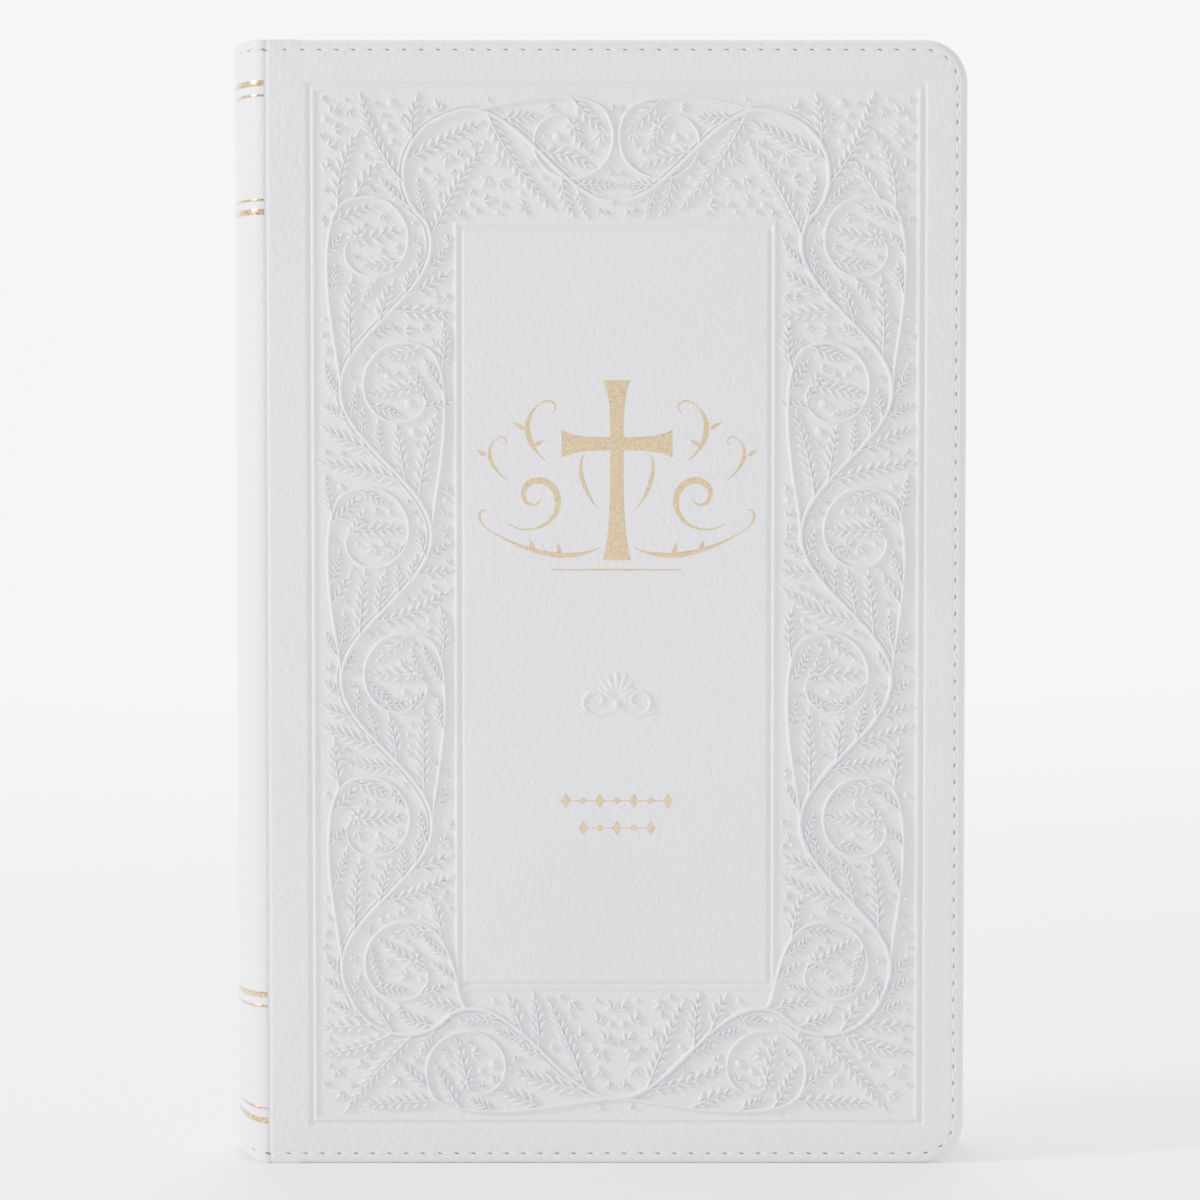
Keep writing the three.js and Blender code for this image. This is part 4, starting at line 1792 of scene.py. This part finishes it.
    def build_bands(self) -> None:
        """Makes the gold bands, each a thin film that hugs the leather."""
        angle = self.angles(81, trim=0.05)[:, None]
        numbers = range(1, len(self.bands) + 1)
        names = [f"spine_band_{end}_{number}" for number in numbers for end in ("tail", "head")]
        for (middle, width), node in zip(self.band_places(), names):
            across = np.linspace(-1, 1, 7)[None, :]
            z = middle + across * width / 2
            depth = 0.02 - 0.05 * (1 - across**4) + self.fold(angle)
            points = self.surface(angle + 0 * z, depth, z + self.lift(angle, z))
            piece = make_piece(
                f"gold_{node}", points, grid_quads(*points.shape[:2]), SPINE_FOIL, "gold_foil", flip=True
            )
            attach(piece, "spine")
            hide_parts(node)

    def sew(self) -> None:
        """Sews across the head and the tail."""
        angle = self.angles(240, trim=0.06)
        for end in End:
            z = self.end_height(angle, end) - end.value * self.stitches.inset
            path = self.surface(angle, np.full_like(angle, 0.1), z)
            normals = self.normal(angle)
            word = "head" if end is End.HEAD else "tail"
            self.stitches.sew(f"spine_{word}", path, normals, "spine")

    def build(self) -> None:
        """Makes the whole spine."""
        self.build_skin()
        self.build_bands()
        self.sew()


# ---------------------------------------------------------------------------------------------
# Page block
# ---------------------------------------------------------------------------------------------


@dataclass
class PageBlock:
    """Half of the leaves, seen as one sheared block with gilt edges and a rounded back."""

    sizes: BookSizes
    side: Side
    corner: float = 6.0
    rounding: float = 1.8
    middle: float = 0.03

    def build(self) -> None:
        """Makes the half block: a stack of page outlines, shifted to round the back.

        One parameter runs round the outline and the other through the thickness. The two faces
        close the stack.
        """
        s = self.sizes
        through = np.linspace(s.page_half, self.middle, 41)
        outline, edges = self.outline()
        shift = -self.rounding * (1 - (through / s.page_half) ** 2)
        u = outline[None, :, 0] + shift[:, None]
        v = outline[None, :, 1] + 0 * shift[:, None]
        h = through[:, None] - s.face + 0 * u
        points = s.world(self.side, np.stack([u, v, h], axis=-1))
        uv = np.stack([edges[None, :] + 0 * u, through[:, None] + 0 * u], axis=-1)
        quads = grid_quads(*u.shape, closed_columns=True)
        piece = make_piece(
            f"{self.side.word}_page_edges",
            points,
            quads,
            GILT_EDGES,
            "pages",
            uv=uv,
            flip=self.side is Side.BACK,
        )
        faces = self.faces(points)
        first = 0 if self.side is Side.FRONT else 8
        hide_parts(*[f"signature_{first + k + 1:02d}" for k in range(8)])
        outer = s.world(self.side, np.array([60.0, 100.0, s.page_half - s.face]))
        inner = s.world(self.side, np.array([60.0, 100.0, self.middle - s.face]))
        for part in (piece, faces):
            if self.side is Side.FRONT:
                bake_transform(part)
            else:
                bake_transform(part)

    def outline(self) -> tuple[Array, Array]:
        """A page's outline, anticlockwise, and the run along it.

        Returns:
            u and v of its points, and the distance along it.
        """
        s = self.sizes
        left, right = s.page_back, s.page_back + s.page_width
        bottom, top = s.square, s.height - s.square
        turn = np.linspace(-math.pi / 2, 0, 12)
        low = np.stack([np.cos(turn), np.sin(turn)], axis=-1) * self.corner
        low = low + [right - self.corner, bottom + self.corner]
        high = low[::-1] * [1, -1] + [0, top + bottom]
        back = np.stack([np.full(6, left), np.linspace(top, bottom, 6)], axis=-1)
        points = np.concatenate([low, high, back])
        run = runs(points)
        return points, run

    def faces(self, points: Array) -> bpy.types.Object:
        """The two outer leaves of the half block, each a fan of rings shrunk towards its middle.

        Args:
            points: The block's points. Its first and last rows are the leaves' outlines.

        Returns:
            The leaves, as one piece.
        """
        sheets = []
        for ring, turned in ((points[0], False), (points[-1], True)):
            middle = ring.mean(axis=0)
            share = np.array([1.0, 0.7, 0.35, 0.0])[:, None, None]
            sheet = middle + (ring - middle)[None] * share
            quads = grid_quads(4, len(ring), closed_columns=True)
            sheets.append((sheet.reshape(-1, 3), quads if turned else quads[:, ::-1]))
        return make_piece(
            f"{self.side.word}_outer_leaves",
            *joined(sheets),
            LEAF_PAPER,
            "pages",
            flip=self.side is Side.BACK,
            weld=True,
        )


@dataclass
class EndBands:
    """The woven bands at head and tail: silk wound round a cord, in white and gold by turns."""

    sizes: BookSizes
    winding: float = 0.55
    radius: float = 0.72
    rings: int = 8  # along one winding
    around: int = 16

    def build(self, side: Side) -> None:
        """Makes both bands of one half block.

        Each band is a tube along the block's curved back whose radius ripples with the winding.

        Args:
            side: The half that the bands belong to.
        """
        s = self.sizes
        word = side.word
        start, end = 0.25, s.page_half - 0.5
        count = int((end - start) / self.winding)
        steps = count * self.rings + 1
        y = np.linspace(start, end, steps)[:, None]
        turn = np.linspace(0, 2 * math.pi, self.around + 1)[None, :-1]
        back = s.page_back - PageBlock.rounding * (1 - (y / s.page_half) ** 2) + 1.0
        wave = np.abs(np.sin(math.pi * (y - start) / self.winding))
        ripple = self.radius * (0.86 + 0.14 * wave**0.5)
        for end_of in End:
            node = f"{'head' if end_of is End.HEAD else 'tail'}_band_{word}"
            low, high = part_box(node)
            z = (low.z + high.z) / 2 / MM
            u = back + ripple * np.cos(turn)
            v = z + ripple * np.sin(turn)
            h = y - s.face + 0 * turn
            points = s.world(side, np.stack([u, v, h], axis=-1))
            quads = grid_quads(steps, self.around, closed_columns=True)
            owner = np.repeat(np.arange(steps - 1) // self.rings, self.around)
            uv = np.stack([y / self.winding + 0 * turn, turn + 0 * y], axis=-1)
            for finish, chosen, name in (
                (BAND_WHITE, owner % 2 == 0, "white"),
                (BAND_GOLD, owner % 2 == 1, "gold"),
            ):
                piece = make_piece(
                    f"{node}_{name}_silk",
                    points,
                    quads[chosen],
                    finish,
                    "end_band",
                    uv=uv,
                    flip=side is Side.FRONT,
                )
                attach(piece, f"{word}_leaves_inner")
                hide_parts(node)


def dress_nodes(nodes: dict[str, bpy.types.Object]) -> None:
    """Gives the CAD nodes that stay their finishes.

    Args:
        nodes: The frame's nodes by name.
    """
    finishes = {
        "board": BOARD,
        "inlay": BOARD,
        "pastedown": ENDPAPER,
        "flyleaf": ENDPAPER,
        "mull": MULL,
        "sewing_chain": LINEN_THREAD,
    }
    for name, node in nodes.items():
        for word, finish in finishes.items():
            if word in name:
                node.data.materials.clear()
                node.data.materials.append(PALETTE.get(finish))


# ---------------------------------------------------------------------------------------------
# Studio
# ---------------------------------------------------------------------------------------------


@dataclass
class Studio:
    """A pale floor and backdrop, soft light from the left, and the camera."""

    sizes: BookSizes
    distance: float = 600.0
    tilt: float = math.radians(2.3)
    frame_width: float = 226.9
    aim_height: float = 107.5

    def build(self) -> None:
        """Sets up the stage, the lights and the camera."""
        self.add_stage()
        self.add_lights()
        self.add_camera()

    def add_stage(self) -> None:
        """Makes one pale round sheet: a flat disc, a quarter round at its rim, and a wall above.

        The profile of radius and height is turned about the upright axis.
        """
        bend = np.linspace(0, math.pi / 2, 14)
        radius = np.concatenate([[0, 0.5, 1.2], 2.1 + 0.7 * np.sin(bend), [2.8, 2.8]])[:, None]
        height = np.concatenate([[0, 0, 0], 0.7 - 0.7 * np.cos(bend), [1.4, 2.4]])[:, None]
        turn = np.linspace(0, 2 * math.pi, 65)[None, :-1]
        points = np.stack([radius * np.cos(turn), radius * np.sin(turn), height + 0 * turn], axis=-1)
        mesh = bpy.data.meshes.new("studio_sheet")
        quads = grid_quads(*points.shape[:2], closed_columns=True)
        mesh.from_pydata(points.reshape(-1, 3).tolist(), [], quads.tolist())
        mesh.polygons.foreach_set("use_smooth", np.ones(len(mesh.polygons), dtype=bool))
        mesh.materials.append(PALETTE.get(Finish("pale_studio_paper", "f6f6f6", 0.9)))
        floor = bpy.data.objects.new("studio_sheet", mesh)
        bpy.context.scene.collection.objects.link(floor)

    def add_light(
        self,
        name: str,
        place: tuple[float, float, float],
        size: float,
        power: float,
        target: tuple[float, float, float] = (0.0, 0.0, 0.1065),
    ) -> None:
        """Adds a square soft light.

        Args:
            name: The light's name.
            place: Where it stands, in metres.
            size: The length of its side.
            power: Its power in watts.
            target: What it is aimed at, usually the book's middle.
        """
        data = bpy.data.lights.new(name, "AREA")
        data.size = size
        data.energy = power
        light = bpy.data.objects.new(name, data)
        light.location = place
        light.rotation_euler = self.aim(np.array(target) - np.array(place))
        bpy.context.scene.collection.objects.link(light)

    def add_lights(self) -> None:
        """Adds a small key from the left, weak light from above, a backdrop light and the sky.

        The key grazes the cover, so that the low relief casts shadows.
        """
        self.add_light("key_softbox", (-1.38, -0.42, 0.62), 0.32, 102.0)
        self.add_light("overhead_softbox", (0.1, 0.15, 1.9), 1.6, 28.0)
        self.add_light("backdrop_softbox", (0.0, 1.2, 2.0), 1.2, 300.0, (0.0, 2.7, 0.4))
        world = bpy.data.worlds.new("studio_sky")
        world.use_nodes = True
        background = world.node_tree.nodes["Background"]
        background.inputs["Color"].default_value = linear("fbfbff")
        background.inputs["Strength"].default_value = 0.15
        bpy.context.scene.world = world

    @staticmethod
    def aim(direction: Array) -> tuple[float, float, float]:
        """Euler angles that turn a camera or light to look along a direction."""
        x, y, z = direction / np.linalg.norm(direction)
        return math.acos(-z), 0.0, math.atan2(y, x) - math.pi / 2

    def add_camera(self) -> None:
        """Adds the camera: level with the book's middle and tilted slightly down."""
        data = bpy.data.cameras.new("studio_camera")
        data.sensor_width = 36.0
        data.lens = data.sensor_width * self.distance / self.frame_width
        data.clip_start = 0.01
        camera = bpy.data.objects.new("studio_camera", data)
        target = np.array([0.5, -self.sizes.face, self.aim_height])
        offset = np.array([0.0, -math.cos(self.tilt), math.sin(self.tilt)]) * self.distance
        camera.location = tuple((target + offset) * MM)
        camera.rotation_euler = self.aim(-offset)
        bpy.context.scene.collection.objects.link(camera)
        bpy.context.scene.camera = camera


def main() -> None:
    """Builds the book's pieces, one sub-assembly after another."""
    logging.basicConfig(level=logging.INFO, format="%(message)s")
    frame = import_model()
    sizes = BookSizes.from_frame()
    LOG.info("sizes: %s", sizes)
    Studio(sizes).build()
    dress_nodes(frame["nodes"])
    for side in Side:
        cover = CoverLeather(sizes, side)
        cover.build()
        cover.sew()
        PageBlock(sizes, side).build()
        EndBands(sizes).build(side)
    VineBorder(sizes).build()
    BlindPalmette(sizes).build()
    GoldTooling(sizes).build()
    SpineLeather(sizes).build()


if __name__ == "__main__":
    main()
